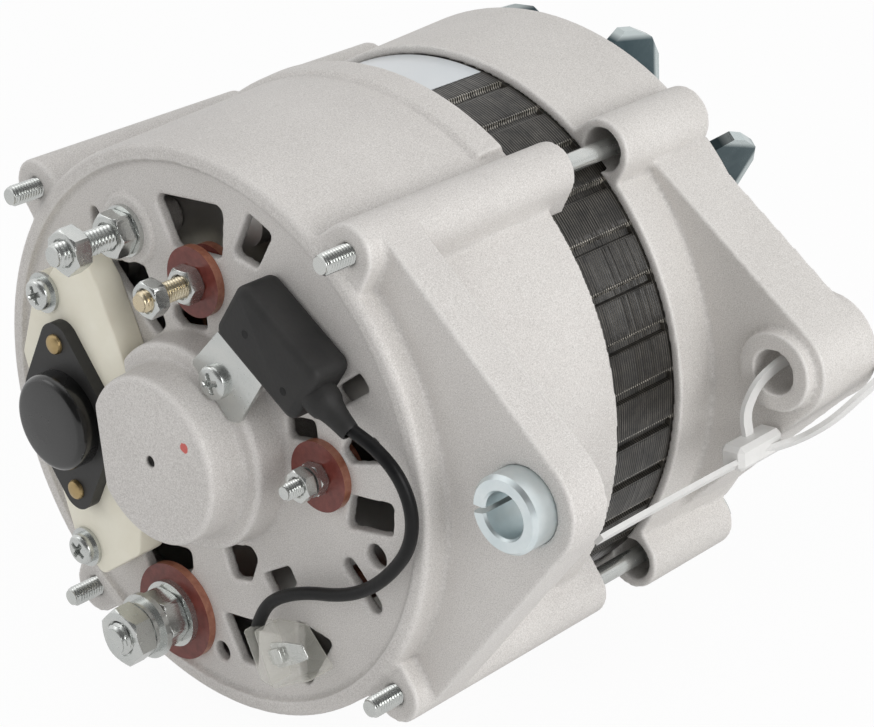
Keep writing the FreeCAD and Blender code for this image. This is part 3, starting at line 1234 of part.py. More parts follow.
def rounded_route(points):
    """Straight runs joined by tangent arcs, each as large as its runs allow."""
    points = [FreeCAD.Vector(*p) for p in points]
    edges = []
    here = points[0]
    radii = []
    for before, corner, after in zip(points, points[1:], points[2:]):
        back = before - corner
        ahead = after - corner
        reach = 0.45 * min(back.Length, ahead.Length)
        back.normalize()
        ahead.normalize()
        turn = math.pi - back.getAngle(ahead)
        start = corner + back * reach
        finish = corner + ahead * reach
        radius = reach / math.tan(turn / 2)
        radii.append(round(radius, 1))
        middle = (back + ahead).normalize() * (radius / math.cos(turn / 2) - radius)
        edges.append(Part.LineSegment(here, start).toShape())
        edges.append(Part.Arc(start, corner + middle, finish).toShape())
        here = finish
    edges.append(Part.LineSegment(here, points[-1]).toShape())
    return Part.Wire(edges), radii


def lead():
    """The capacitor's lead, its strain relief and the boot on its blade terminal."""
    path, radii = rounded_route(LEAD_ROUTE)
    start = FreeCAD.Vector(*LEAD_ROUTE[0])
    heading = FreeCAD.Vector(*LEAD_ROUTE[1]) - start
    section = Part.Wire(Part.makeCircle(value("lead_radius"), start, heading))
    tube = path.makePipeShell([section], True, False)
    expected = math.pi * value("lead_radius") ** 2 * path.Length
    print("lead radii", radii, "volume ratio", round(tube.Volume / expected, 4))
    thing = doc.addObject("Part::Feature", "capacitor_lead")
    thing.Shape = tube
    node("capacitor_lead", thing)
    sleeve = doc.addObject("Part::Cylinder", "relief")
    bind(sleeve, Radius="relief_radius", Height="relief_length")
    hole = doc.addObject("Part::Cylinder", "relief_bore")
    bind(hole, Radius="lead_radius + relief_gap", Height="relief_length")
    turn = FreeCAD.Rotation(FreeCAD.Vector(0, 0, 1), heading)
    for piece in (sleeve, hole):
        piece.Placement = FreeCAD.Placement(start, turn)
    node("strain_relief", cut(sleeve, hole))
    end = FreeCAD.Vector(*LEAD_ROUTE[-1])
    along = (end - FreeCAD.Vector(*LEAD_ROUTE[-2])).normalize()
    across = FreeCAD.Vector(-along.z, 0, along.x) * 3
    boot = new_body("terminal_boot")
    grown(boot, "-boot_rear", "-boot_front", lambda s: polygon(s, (
        (end.x + across.x, end.z + across.z), (end.x - across.x, end.z - across.z), ("9.0", "-46.6", "1.5"),
        ("12.2", "-55.6", "1.5"), ("18.6", "-57.6", "1.5"), ("35.1", "-49.6", "2"), ("27.7", "-38.9", "2"),
        ("18.8", "-41.2", "1.5"))))
    node("terminal_boot", boot)


def heat_sink(label, side, posts, diodes, stud):
    """A crescent plate on one side of the shaft with holes for its diodes, screws and stud."""
    body = new_body(label)
    sketch = sketch_on(body, "YZ_Plane")
    front = "sink_rear + sink_thick"
    corners = [("sink_rear", side + "sink_inner"), (front, side + "sink_inner"),
               (front, side + "sink_outer"), ("sink_rear", side + "sink_outer")]
    polygon(sketch, corners)
    plate = body.newObject("PartDesign::Revolution", "plate")
    plate.Profile = sketch
    plate.ReferenceAxis = (origin_part(body, "Y_Axis"), [""])
    plate.Midplane = True
    bind(plate, Angle="sink_angle")
    holes = [(x, z, "diode_radius + seat_gap") for x, z in diodes]
    holes += [(x, z, "post_screw + seat_gap") for x, z in posts]
    holes.append((stud + "_x", stud + "_z", stud + "_radius + seat_gap"))
    pierced(body, "sink_rear - 1", front + " + 1", lambda s: [circle(s, x, z, r) for x, z, r in holes])
    node(label, body)


def rectifier():
    """Two heat sinks with three diodes each, and the screws that hold them."""
    heat_sink("earth_heat_sink", "", EARTH_POSTS, EARTH_DIODES, "minus")
    heat_sink("plus_heat_sink", "-", PLUS_POSTS, PLUS_DIODES, "plus")
    diodes = []
    for x, z in EARTH_DIODES + PLUS_DIODES:
        front = "diode_rear + diode_length"
        diodes.append(fuse(rod("diode_radius", "diode_rear", front, x, z),
                           cone("diode_radius - 2", "diode_wire", front, front + " + 2.5", x, z),
                           rod("diode_wire", front + " + 2", front + " + diode_wire_length", x, z)))
    node("diodes", group(*diodes))
    screws = []
    for posts, rear, seat in ((EARTH_POSTS, "face_thickness + 1", "sink_rear + sink_thick"),
                              (PLUS_POSTS, "1.5", "sink_rear + sink_thick + 1.5")):
        for x, z in posts:
            screws.append(fuse(rod("post_screw", rear, seat + " + 0.1", x, z),
                               rod("post_screw * 1.9", seat, seat + " + 2", x, z)))
    node("sink_screws", group(*screws))


def lug_bush():
    """Slit steel bush that slides in the rear lug and takes up the length between the pivot's ears."""
    rear = "lug_rear - bush_proud"
    front = "lug_rear + lug_thick + bush_front"
    tube = ring("bush_radius", "pivot_bore", rear, front, "lug_axis_x", "lug_axis_z")
    slit = block("lug_axis_x - bush_radius - 1", "lug_axis_x - pivot_bore + 1", rear + " - 1", front + " + 1",
                 "lug_axis_z - bush_slit / 2", "lug_axis_z + bush_slit / 2")
    node("lug_bush", cut(tube, slit))


# Route of the cable tie's strap: from its head through the front lug's bore, round its nose and back
TIE_ROUTE = (
    (88.2, 86.6, -13.6), (86.8, 87.4, -7.6), (88.8, 90.2, -0.6), (90.9, 97.0, 2.8), (92.0, 108.0, 2.6),
    (94.4, 117.6, 0.6), (101.6, 118.6, -1.6), (107.6, 113.4, -3.2), (108.2, 104.4, -4.4), (103.2, 98.6, -10.4),
    (95.6, 95.8, -15.6), (90.6, 88.6, -16.8), (89.8, 76.0, -16.8), (89.6, 52.0, -16.7), (89.9, 30.0, -16.5),
)


def cable_tie():
    """Nylon cable tie through the front lug's bore: strap and head are one moulding."""
    path, radii = rounded_route(TIE_ROUTE)
    start = FreeCAD.Vector(*TIE_ROUTE[0])
    heading = FreeCAD.Vector(*TIE_ROUTE[1]) - start
    half_width = value("tie_width") / 2
    half_thick = value("tie_thick") / 2
    corners = [FreeCAD.Vector(a * half_thick, b * half_width, 0)
               for a, b in ((-1, -1), (1, -1), (1, 1), (-1, 1), (-1, -1))]
    section = Part.makePolygon(corners)
    section.Placement = FreeCAD.Placement(start, FreeCAD.Rotation(FreeCAD.Vector(0, 0, 1), heading))
    strap = doc.addObject("Part::Feature", "strap")
    strap.Shape = path.makePipeShell([section], True, False)
    head = block("-tie_head_width / 2", "tie_head_width / 2", "-tie_head_length / 2", "tie_head_length / 2",
                 "-tie_head_height / 2", "tie_head_height / 2")
    rounded = doc.addObject("Part::Chamfer", "head")
    rounded.Base = head
    rounded.Edges = [(index, 1.2, 1.2) for index in range(1, 13)]
    rounded.Placement = FreeCAD.Placement(FreeCAD.Vector(89.0, 86.6, -15.6), FreeCAD.Rotation())
    node("cable_tie", fuse(strap, rounded))


def build():
    rear_housing()
    front_housing()
    stator_core()
    stator_winding()
    through_bolts()
    rotor_shaft()
    claw_poles()
    field_coil()
    slip_rings()
    bearings()
    bearing_retainer()
    fan()
    shaft_hardware()
    terminals()
    brush_holder()
    brushes()
    regulator()
    cap_and_rivets()
    holder_screws()
    capacitor()
    lead()
    rectifier()
    insulators()
    lug_bush()
    cable_tie()


build()
doc.recompute()
failed = [thing.Label for thing in doc.Objects if "Invalid" in thing.State or "Error" in thing.State]
broken = [label for label, thing in NODES.items() if thing.Shape.isNull() or not thing.Shape.isValid()]
if failed or broken:
    raise SystemExit("failed: %s, broken: %s" % (failed, broken))
os.makedirs("parts", exist_ok=True)
for label, thing in NODES.items():
    thing.Shape.exportStep("parts/%s.step" % label)
print(len(NODES), "nodes written")
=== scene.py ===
import math

import bmesh
import bpy
import numpy as np
from mathutils import Matrix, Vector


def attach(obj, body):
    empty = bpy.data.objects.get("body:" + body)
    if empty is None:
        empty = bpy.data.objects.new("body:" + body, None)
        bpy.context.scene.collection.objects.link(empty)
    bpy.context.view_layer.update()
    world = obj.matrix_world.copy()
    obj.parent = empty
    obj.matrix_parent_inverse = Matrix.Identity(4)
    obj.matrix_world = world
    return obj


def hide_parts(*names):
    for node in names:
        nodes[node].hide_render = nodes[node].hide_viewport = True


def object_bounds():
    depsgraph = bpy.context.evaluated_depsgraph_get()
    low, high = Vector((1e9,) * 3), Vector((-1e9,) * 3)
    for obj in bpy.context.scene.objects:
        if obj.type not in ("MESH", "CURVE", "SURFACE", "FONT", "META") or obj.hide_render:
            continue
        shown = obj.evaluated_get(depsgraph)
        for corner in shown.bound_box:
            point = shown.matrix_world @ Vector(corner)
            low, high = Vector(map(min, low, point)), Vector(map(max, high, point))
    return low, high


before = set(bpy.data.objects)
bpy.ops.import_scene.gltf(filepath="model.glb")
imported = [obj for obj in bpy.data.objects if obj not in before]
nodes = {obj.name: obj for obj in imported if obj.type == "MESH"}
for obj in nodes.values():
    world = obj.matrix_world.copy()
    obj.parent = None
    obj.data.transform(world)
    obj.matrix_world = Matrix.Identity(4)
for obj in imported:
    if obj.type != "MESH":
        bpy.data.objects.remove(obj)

cad_box = [list(corner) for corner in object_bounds()]

# The camera stands behind the machine's slip-ring end, to its right and above it, and is
# turned a few degrees about its own axis.
azimuth, elevation, roll = (math.radians(angle) for angle in (45.1, 20.57, -5.59))
back = np.array([math.sin(azimuth) * math.cos(elevation), -math.cos(azimuth) * math.cos(elevation),
                 math.sin(elevation)])
level = np.array([math.cos(azimuth), math.sin(azimuth), 0.0])
right = math.cos(roll) * level + math.sin(roll) * np.cross(back, level)
camera_place = (0.3483, -0.3618, 0.2235)
pose = np.eye(4)
pose[:3] = np.transpose([right, np.cross(back, right), back, camera_place])
camera = bpy.data.objects.new("camera", bpy.data.cameras.new("camera"))
camera.data.lens = 109.4
camera.data.sensor_width = 36.0
camera.data.clip_start = 0.01
camera.matrix_world = Matrix(pose.tolist())
bpy.context.scene.collection.objects.link(camera)
bpy.context.scene.camera = camera
bpy.context.scene.view_settings.view_transform = "Standard"


# The lead from the capacitor to its terminal: a thin black sheathed wire on one smooth curve,
# held by the strain relief at one end and by the boot at the other.
def to_part(points):
    """Points in millimetres from the shaft's line and the rear face, as metres from the pivot bush."""
    return (np.asarray(points, float) + (-92.1, 1.5, -1.8)) / 1000


lead_points = [
    (46.0, -6.6, 21.2), (52.6, -6.6, 15.9), (60.6, -5.8, 12.2), (66.4, -4.9, 6.2), (68.6, -4.3, -2.0),
    (66.6, -4.2, -10.4), (60.6, -4.2, -17.6), (52.6, -4.2, -24.0), (43.4, -4.4, -28.0), (31.6, -4.7, -30.0),
    (22.6, -5.0, -33.4), (16.8, -5.0, -37.9), (14.0, -5.0, -43.2)]
lead_route = to_part(lead_points)
lead_radius = 0.00155
lead_curve = bpy.data.curves.new("capacitor_wire", "CURVE")
lead_curve.dimensions = "3D"
spline = lead_curve.splines.new("NURBS")
spline.points.add(len(lead_route) - 1)
for place, point in zip(spline.points, lead_route):
    place.co = (*point, 1.0)
spline.order_u = 3
spline.use_endpoint_u = True
spline.resolution_u = 12
lead_curve.bevel_depth = lead_radius
lead_curve.bevel_resolution = 6
lead_curve.use_fill_caps = True
lead = bpy.data.objects.new("capacitor_wire", lead_curve)
bpy.context.scene.collection.objects.link(lead)


class Wire:
    """A socket of one material's nodes. Operators on it add Math nodes."""

    def __init__(self, finish, socket):
        self.finish, self.socket = finish, socket

    def math(self, operation, *values):
        return self.finish.node("ShaderNodeMath", {"operation": operation}, dict(enumerate((self, *values))))

    def __add__(self, other):
        return self.math("ADD", other)

    def __mul__(self, other):
        return self.math("MULTIPLY", other)

    def __sub__(self, other):
        return self.math("SUBTRACT", other)

    def __rsub__(self, other):
        return self.finish.node("ShaderNodeMath", {"operation": "SUBTRACT"}, {0: other, 1: self})

    __radd__ = __add__
    __rmul__ = __mul__


class Finish:
    """The nodes of one material or of the world. node() adds any node, surface() the Principled shader."""

    def __init__(self, name, world=None):
        self.material = world or bpy.data.materials.new(name)
        self.material.use_nodes = True
        self.tree = self.material.node_tree
        self.tree.nodes.clear()
        self.place = self.node("ShaderNodeTexCoord", {}, {}, "Generated" if world else "Object")

    def node(self, kind, settings, inputs, output=0):
        """A node with its settings, a ramp's colour stops among them, then its values and links."""
        made = self.tree.nodes.new(kind)
        for name, value in settings.items():
            if name == "stops":
                ramp = made.color_ramp
                while len(ramp.elements) < len(value):
                    ramp.elements.new(0.5)
                for element, (position, colour) in zip(ramp.elements, value):
                    element.position, element.color = position, (*colour, 1.0)
            else:
                setattr(made, name, value)
        for key, value in inputs.items():
            socket = made.inputs[key]
            if isinstance(value, Wire):
                self.tree.links.new(value.socket, socket)
            elif hasattr(value, "__len__"):
                socket.default_value = (*value, 1.0)[:len(socket.default_value)]
            else:
                socket.default_value = value
        return Wire(self, made.outputs[output]) if made.outputs else None

    def noise(self, scale, detail=3.0, rough=0.55):
        return self.node("ShaderNodeTexNoise", {}, {
            "Vector": self.place, "Scale": scale, "Detail": detail, "Roughness": rough}, "Fac")

    def ramp(self, value, *stops):
        return self.node("ShaderNodeValToRGB", {"stops": stops}, {"Fac": value}, "Color")

    def level(self, value, low, high, to_low=0.0, to_high=1.0):
        """From to_low where the value is low to to_high where it is high, and no further."""
        return self.node("ShaderNodeMapRange", {"clamp": True}, {
            "Value": value, "From Min": low, "From Max": high, "To Min": to_low, "To Max": to_high}, "Result")

    def mix(self, factor, first, second):
        return self.node("ShaderNodeMix", {"data_type": "RGBA"}, {0: factor, 6: first, 7: second}, 2)

    def split(self, axis):
        return self.node("ShaderNodeSeparateXYZ", {}, {"Vector": self.place}, axis)

    def distance(self, point):
        """Distance of the surface from a point of the machine, in millimetres."""
        away = self.node("ShaderNodeVectorMath", {"operation": "DISTANCE"}, {
            0: self.place, 1: tuple(to_part(point))}, "Value")
        return away * 1000

    def bump(self, height, strength, distance):
        return self.node("ShaderNodeBump", {}, {
            "Strength": strength, "Distance": distance, "Height": height}, "Normal")

    def close(self, shader, output="ShaderNodeOutputMaterial"):
        self.node(output, {}, {"Surface": shader})
        return self.material

    def surface(self, **sockets):
        values = {name.replace("_", " ").title().replace("Ior", "IOR"): value
                  for name, value in sockets.items()}
        return self.close(self.node("ShaderNodeBsdfPrincipled", {}, values, "BSDF"))


def dress(piece, material):
    """Gives the piece this material alone."""
    piece.data.materials.clear()
    piece.data.materials.append(material)


sheath = Finish("black_sheath")
grime = sheath.noise(160, 4)
dress(lead, sheath.surface(
    base_color=sheath.ramp(grime, (0.3, (0.005, 0.005, 0.0055)), (0.8, (0.013, 0.013, 0.013))),
    roughness=sheath.level(grime, 0.3, 0.7, 0.34, 0.48), specular_ior_level=0.2,
    normal=sheath.bump(sheath.noise(900, 2), 0.25, 0.0001)))
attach(lead, "housing")
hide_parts("capacitor_lead")


# The two housings are cast aluminium cups, blasted to a sandy grey and drawn together on the stator
# by the through-bolts. Each is a copy of its solid with its edges eased, the way a casting's are.
def linked(name, mesh):
    made = bpy.data.objects.new(name, mesh)
    bpy.context.scene.collection.objects.link(made)
    return made


def merged(node, name):
    """A copy of the CAD node's mesh with its loose triangles joined along their edges."""
    mesh = nodes[node].data.copy()
    shell = bmesh.new()
    shell.from_mesh(mesh)
    bmesh.ops.remove_doubles(shell, verts=shell.verts, dist=1e-6)
    shell.to_mesh(mesh)
    shell.free()
    return linked(name, mesh)


def stands_for(piece, material, slot, *replaced):
    """The piece's finish and the CAD nodes that it replaces; the slot is not used. It rides on the housing.
    """
    dress(piece, material)
    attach(piece, "housing")
    if replaced:
        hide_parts(*replaced)


def cast_copy(node, name, share):
    """The solid as even squares 0.62 mm wide, relaxed twice so that its edges round, then thinned to
    the share."""
    made = merged(node, name)
    remesh = made.modifiers.new("remesh", "REMESH")
    remesh.mode, remesh.voxel_size, remesh.use_smooth_shade = "VOXEL", 0.00062, True
    relax = made.modifiers.new("relax", "SMOOTH")
    relax.factor, relax.iterations = 0.5, 2
    thin = made.modifiers.new("thin", "DECIMATE")
    thin.ratio = share
    final = bpy.data.meshes.new_from_object(made.evaluated_get(bpy.context.evaluated_depsgraph_get()))
    made.modifiers.clear()
    made.data = final
    final.polygons.foreach_set("use_smooth", np.ones(len(final.polygons), bool))
    return made


paint_dot = (13.0, -18.7, 6.3)
vent_hole_shade_centre = (0, -17.6, 0)


def cast_aluminium(name, pale, dark, domed=False):
    """Sandy casting: grains under a millimetre, faint blotches of a few centimetres, painted shade in the
    concave corners, and wear with a painted highlight on the convex edges. The domed one has a red paint dot
    and a vent hole painted near black as its shade."""
    metal = Finish(name)
    grain = metal.noise(3400, 2, 0.6)
    coarse = metal.noise(1300, 3, 0.6)
    cloud = metal.noise(26, 5, 0.6)
    body = metal.mix(metal.level(cloud, 0.32, 0.7), dark, pale)
    colour = metal.mix(metal.level(grain, 0.5, 0.28) * 0.5, body, tuple(0.55 * c for c in dark))
    colour = metal.mix(metal.level(grain, 0.52, 0.72) * 0.6, colour, (0.84, 0.83, 0.81))
    bend = metal.node("ShaderNodeNewGeometry", {}, {}, "Pointiness")
    # Painted shade: the concave corners, where the surface bends inwards, are darkened.
    colour = metal.mix(metal.level(bend, 0.49, 0.44) * 0.5, colour, tuple(0.45 * c for c in dark))
    # The convex edges are lighter: partly wear, partly a painted highlight.
    colour = metal.mix(metal.level(bend, 0.515, 0.57) * 0.5, colour, (0.86, 0.84, 0.82))
    if domed:
        edge = metal.distance(paint_dot) + metal.noise(900, 2) * 0.8
        colour = metal.mix(metal.level(edge, 1.75, 1.5) * 0.85, colour, (0.6, 0.05, 0.035))
        # Painted shade: a near-black spot where the vent hole is, standing in for the shade inside it.
        hole = metal.level(metal.distance(vent_hole_shade_centre), 1.7, 1.2)
        colour = metal.mix(hole, colour, (0.03, 0.028, 0.026))
    return metal.surface(
        base_color=colour, metallic=0.15, roughness=metal.level(coarse, 0.35, 0.7, 0.62, 0.5),
        specular_ior_level=0.4, normal=metal.bump(grain * 0.6 + coarse * 0.7, 0.6, 0.00011))


rear_cast = cast_aluminium("rear_cast", (0.67, 0.645, 0.62), (0.6, 0.575, 0.552), domed=True)
front_cast = cast_aluminium("front_cast", (0.68, 0.655, 0.628), (0.61, 0.586, 0.56))
stands_for(cast_copy("rear_housing", "rear_casting", 0.29), rear_cast, "cast_aluminium", "rear_housing")
stands_for(cast_copy("front_housing", "front_casting", 0.42), front_cast, "cast_aluminium", "front_housing")


# The stack of stator laminations: thin steel sheets under dark varnish, whose edges stand out a
# few hundredths unevenly. A shallow groove runs along the stack at each of the 36 slots, and one
# wall of it carries a painted highlight: a bright comb on the sheets' edges.
def closed_grids(name, *grids):
    """One mesh from grids of points, rows by columns. The columns close round. The first and last
    rows are capped by one face each, or joined where the grid is given with True. A grid whose faces
    point inwards, by the sum of their outward share seen from the middle, is turned round."""
    points = []
    faces = []
    first = 0
    for grid in grids:
        grid, joined = grid if isinstance(grid, tuple) else (grid, False)
        rows, columns = grid.shape[:2]
        index = first + np.arange(rows * columns).reshape(rows, columns)
        if joined:
            index = np.vstack([index, index[:1]])
        here, there = index[:-1], index[1:]
        quads = np.stack([here, np.roll(here, -1, 1), np.roll(there, -1, 1), there], -1).reshape(-1, 4)
        flat = grid.reshape(-1, 3)
        corners = flat[quads - first]
        outward = np.cross(corners[:, 2] - corners[:, 0], corners[:, 3] - corners[:, 1])
        share = np.sum(outward * (corners.mean(1) - flat.mean(0)))
        caps = [] if joined else [index[0][::-1].tolist(), index[-1].tolist()]
        if share < 0:
            quads = quads[:, ::-1]
            caps = [cap[::-1] for cap in caps]
        faces += quads.tolist() + caps
        points.append(flat)
        first += rows * columns
    mesh = bpy.data.meshes.new(name)
    mesh.from_pydata(to_part(np.vstack(points)).tolist(), [], faces)
    mesh.polygons.foreach_set("use_smooth", np.ones(len(mesh.polygons), bool))
    mesh.set_sharp_from_angle(angle=math.radians(32))
    return linked(name, mesh)


rng = np.random.default_rng(7)
stack_radius = 69.02
stack_start = 59.45
sheet_pitch = 0.76
sheets = 32
slots = 36
slot_turn = 2 * np.pi / slots
# Across a groove, in millimetres at the radius given: its edges, the top and foot of its walls.
groove_radius = 69.0
groove_across = np.array([-1.75, -1.62, -1.30, 0.62, 1.60, 1.75]) / groove_radius
groove_depth = [0, 0.1, 1.26, 1.26, 0.1, 0]
land = np.linspace(groove_across[-1], slot_turn + groove_across[0], 8)[1:-1]
turns = (np.arange(slots)[:, None] * slot_turn + np.concatenate([groove_across, land])).ravel()
radius = stack_radius - np.tile(np.concatenate([groove_depth, np.zeros(len(land))]), slots)
inner_radius = radius - 0.6
# Each sheet has three rings: two on its edge, which stands proud, and one in the gap to the next.
proud = np.repeat(rng.uniform(0.06, 0.13, sheets), 3) * np.tile([1, 1, 0], sheets)
along = stack_start + (np.arange(sheets)[:, None] * sheet_pitch + [0.02, 0.5, 0.6]).ravel()
shift = np.repeat(rng.uniform(-0.0012, 0.0012, sheets), 3)
outer_radius = radius[None] + proud[:, None]
outer_turn = turns[None] + shift[:, None]
inner = np.stack([inner_radius * np.cos(turns), 0 * turns, inner_radius * np.sin(turns)], -1)
outer = np.stack([outer_radius * np.cos(outer_turn), np.broadcast_to(along[:, None], outer_radius.shape),
                  outer_radius * np.sin(outer_turn)], -1)
sleeve = np.concatenate([[inner + (0, along[0], 0)], outer, [inner + (0, along[-1], 0)]])
stack = closed_grids("lamination_edges", (sleeve, True))

shaft = to_part((0, 0, 0))
varnish = Finish("varnished_laminations")
wear = varnish.noise(260, 4, 0.7)
stack_face = to_part((0, stack_start, 0))[1]
sheet = ((varnish.split("Y") - stack_face) * (1000 / sheet_pitch)).math("FRACT")
edge = varnish.level(sheet, 0.5, 0.36) * varnish.level(sheet, 0.0, 0.12)
turned = (varnish.split("Z") - shaft[2]).math("ARCTAN2", varnish.split("X") - shaft[0])
slot = (turned * (slots / (2 * math.pi)) + 0.5).math("FRACT")
groove_wall_highlight = varnish.level(slot, 0.545, 0.56) * varnish.level(slot, 0.64, 0.625)
lines = varnish.mix(edge * varnish.level(wear, 0.25, 0.7), (0.005, 0.0045, 0.004), (0.115, 0.105, 0.088))
# The pale colour on the sloped wall of each groove is a painted highlight.
black_varnish = varnish.surface(
    base_color=varnish.mix(groove_wall_highlight * edge * varnish.level(wear, 0.3, 0.6), lines, (0.52, 0.49, 0.43)),
    metallic=0.3, roughness=varnish.level(wear, 0.3, 0.7, 0.42, 0.3), coat_weight=0.3, coat_roughness=0.25)
dress(nodes["stator_core"], black_varnish)
stands_for(stack, black_varnish, "lamination_steel")


# A blank white label on the top of the stack: glossy film a few tenths thick, glued round the
# laminations between the two housings.
def swept(x, z, section, turns):
    """A section of (radius, Y) swept about the line through x and z, one row for each turn."""
    radius, along = np.transpose(section)
    turns = turns[:, None]
    return np.stack([x + radius * np.cos(turns), along + 0 * turns, z + radius * np.sin(turns)], -1)


label_section = [(69.16, 60.5), (69.30, 60.5), (69.30, 82.2), (69.26, 82.9), (69.16, 82.9)]
label_arc = np.radians(np.linspace(75.9, 121, 60))
label_film = Finish("label_film")
stands_for(closed_grids("blank_label", swept(0, 0, label_section, label_arc)), label_film.surface(
    base_color=label_film.ramp(label_film.noise(60, 3), (0.3, (0.6, 0.64, 0.67)), (0.7, (0.66, 0.69, 0.71))),
    roughness=0.32, coat_weight=0.3, coat_roughness=0.2), "nylon_white")


# Studs and through-bolts: rolled threads on zinc-plated steel, with chamfered ends. Nuts and
# heads are hexagons whose corners are turned off to a cone.
def round_rows(x, z, along, radius, columns=48):
    """Rows of a turned piece about the line through x and z: one radius for each Y, or one for each
    Y and turn."""
    turn = np.arange(columns) * 2 * np.pi / columns
    radius = np.asarray(radius, float).reshape(len(along), -1) * np.ones(columns)
    return np.stack([x + radius * np.cos(turn), np.asarray(along, float)[:, None] * np.ones(columns),
                     z + radius * np.sin(turn)], -1)


def threaded(x, z, start, end, radius, pitch, shank):
    """A threaded rod from start to end along Y, then its plain shank as rows of (Y, radius). The
    thread's radius falls by six tenths of the pitch on a triangle wave of Y over the pitch less the
    turn, and is no larger than a short plain tip and a cone at the start."""
    columns = 40
    along = np.arange(start, end, pitch / 8)
    turn = np.arange(columns) / columns
    wave = np.abs(2 * ((along[:, None] / pitch - turn) % 1) - 1)
    cut = 0.6 * pitch * np.clip(1.25 * wave - 0.1, 0, 1)
    cone = radius - 0.6 * pitch - 0.06 + np.clip(along - start - 0.35, 0, None)[:, None]
    shank_along, shank_radius = zip(*shank)
    return np.concatenate([round_rows(x, z, along, np.minimum(radius - cut, cone), columns),
                           round_rows(x, z, shank_along, shank_radius, columns)])


def hexagon(x, z, start, end, flats, turn=0.0, bore=None):
    """A hexagon bar with both ends turned to a cone: at each turn the radius is the smaller of the
    hexagon's, half its flats over the cosine of the turn within a side, and the cone's. With a bore
    it is a nut, countersunk at both ends."""
    columns = 72
    face_radius = 0.487 * flats
    angle = np.arange(columns) * 2 * np.pi / columns + math.radians(turn)
    side = flats / 2 / np.cos(angle % (np.pi / 3) - np.pi / 6)
    fall = np.linspace(0, (flats / math.sqrt(3) - face_radius) / 1.9, 5)
    cone = face_radius + 1.9 * fall
    along = np.concatenate([start + fall, end - fall[::-1]])
    bar = round_rows(x, z, along, np.minimum(side, np.concatenate([cone, cone[::-1]])[:, None]), columns)
    if bore is None:
        return bar
    hole = round_rows(x, z, [end, end - 0.5, start + 0.5, start],
                      [bore + 0.55, bore + 0.03, bore + 0.03, bore + 0.55], columns)
    return np.concatenate([bar, hole]), True


def zinc(name, colour, tint, rough):
    """Zinc plating, or another bright metal: faint cloudy tints and fine scratches."""
    metal = Finish(name)
    cloud = metal.noise(110, 4, 0.6)
    scratch = metal.noise(1300, 2, 0.5)
    return metal.surface(
        base_color=metal.mix(metal.level(cloud, 0.35, 0.7), colour, tint), metallic=0.9,
        roughness=metal.level(scratch + cloud * 0.5, 0.5, 1.0, rough, rough + 0.12),
        normal=metal.bump(scratch, 0.05, 0.00002))


pale_zinc = zinc("pale_zinc", (0.62, 0.63, 0.61), (0.55, 0.57, 0.56), 0.17)
bolt_reach = 52.1
bolts = []
for x in (-bolt_reach, bolt_reach):
    for z in (-bolt_reach, bolt_reach):
        bolts.append(threaded(x, z, -8.0, 12.0, 2.5, 0.8, shank=((12.6, 2.3), (116.0, 2.3))))
        bolts.append(hexagon(x, z, 115.0, 118.5, 8.0))
stands_for(closed_grids("bolts_with_threads", *bolts), pale_zinc, "zinc_steel", "through_bolts")

# Of each stud: x, z, radius, the flats of its nuts and head, reach outside, pitch, and where its
# head starts inside and how high it is. Of its nuts: the face towards the housing, the outer face,
# and the turn in degrees.
behind_sink = 15.5
behind_wall = 5.1
stud_sizes = {"plus": (-19.6, -49.6, 4.0, 13.0, 21.2, 1.25, behind_sink, 4.0),
              "minus": (-19.2, 47.0, 3.0, 10.0, 22.7, 1.0, behind_sink, 3.5),
              "phase": (3.2, 38.4, 2.5, 8.0, 18.0, 0.8, behind_wall, 3.0),
              "field": (37.4, -1.4, 2.0, 7.0, 12.6, 0.7, behind_wall, 3.0)}
nut_places = {"plus": ((-3.7, -9.4, 12), (-13.6, -19.2, 20)), "minus": ((-2.2, -6.8, 8), (-15.2, -19.8, 26)),
              "phase": ((-2.1, -5.9, 5), (-12.4, -16.2, 18)), "field": ((-2.1, -4.6, 0), (-5.8, -8.8, 20))}
brassy = zinc("yellow_zinc", (0.66, 0.6, 0.46), (0.6, 0.5, 0.34), 0.22)
for name, (x, z, radius, flats, reach, pitch, head, height) in stud_sizes.items():
    shank = ((0.5, 0.97 * radius), (head + 0.1, 0.97 * radius))
    stud = closed_grids(name + "_threaded_stud", threaded(x, z, -reach, 0.0, radius, pitch, shank),
                        hexagon(x, z, head, head + height, flats))
    plated = (brassy, "brass_stud") if name == "phase" else (pale_zinc, "zinc_steel")
    stands_for(stud, *plated, name + "_stud")
for name, places in nut_places.items():
    x, z, radius, flats = stud_sizes[name][:4]
    nuts = closed_grids(name + "_hexagon_nuts", *[
        hexagon(x, z, outer_face, seat, flats, turn, radius) for seat, outer_face, turn in places])
    stands_for(nuts, pale_zinc, "zinc_steel", name + "_nuts")


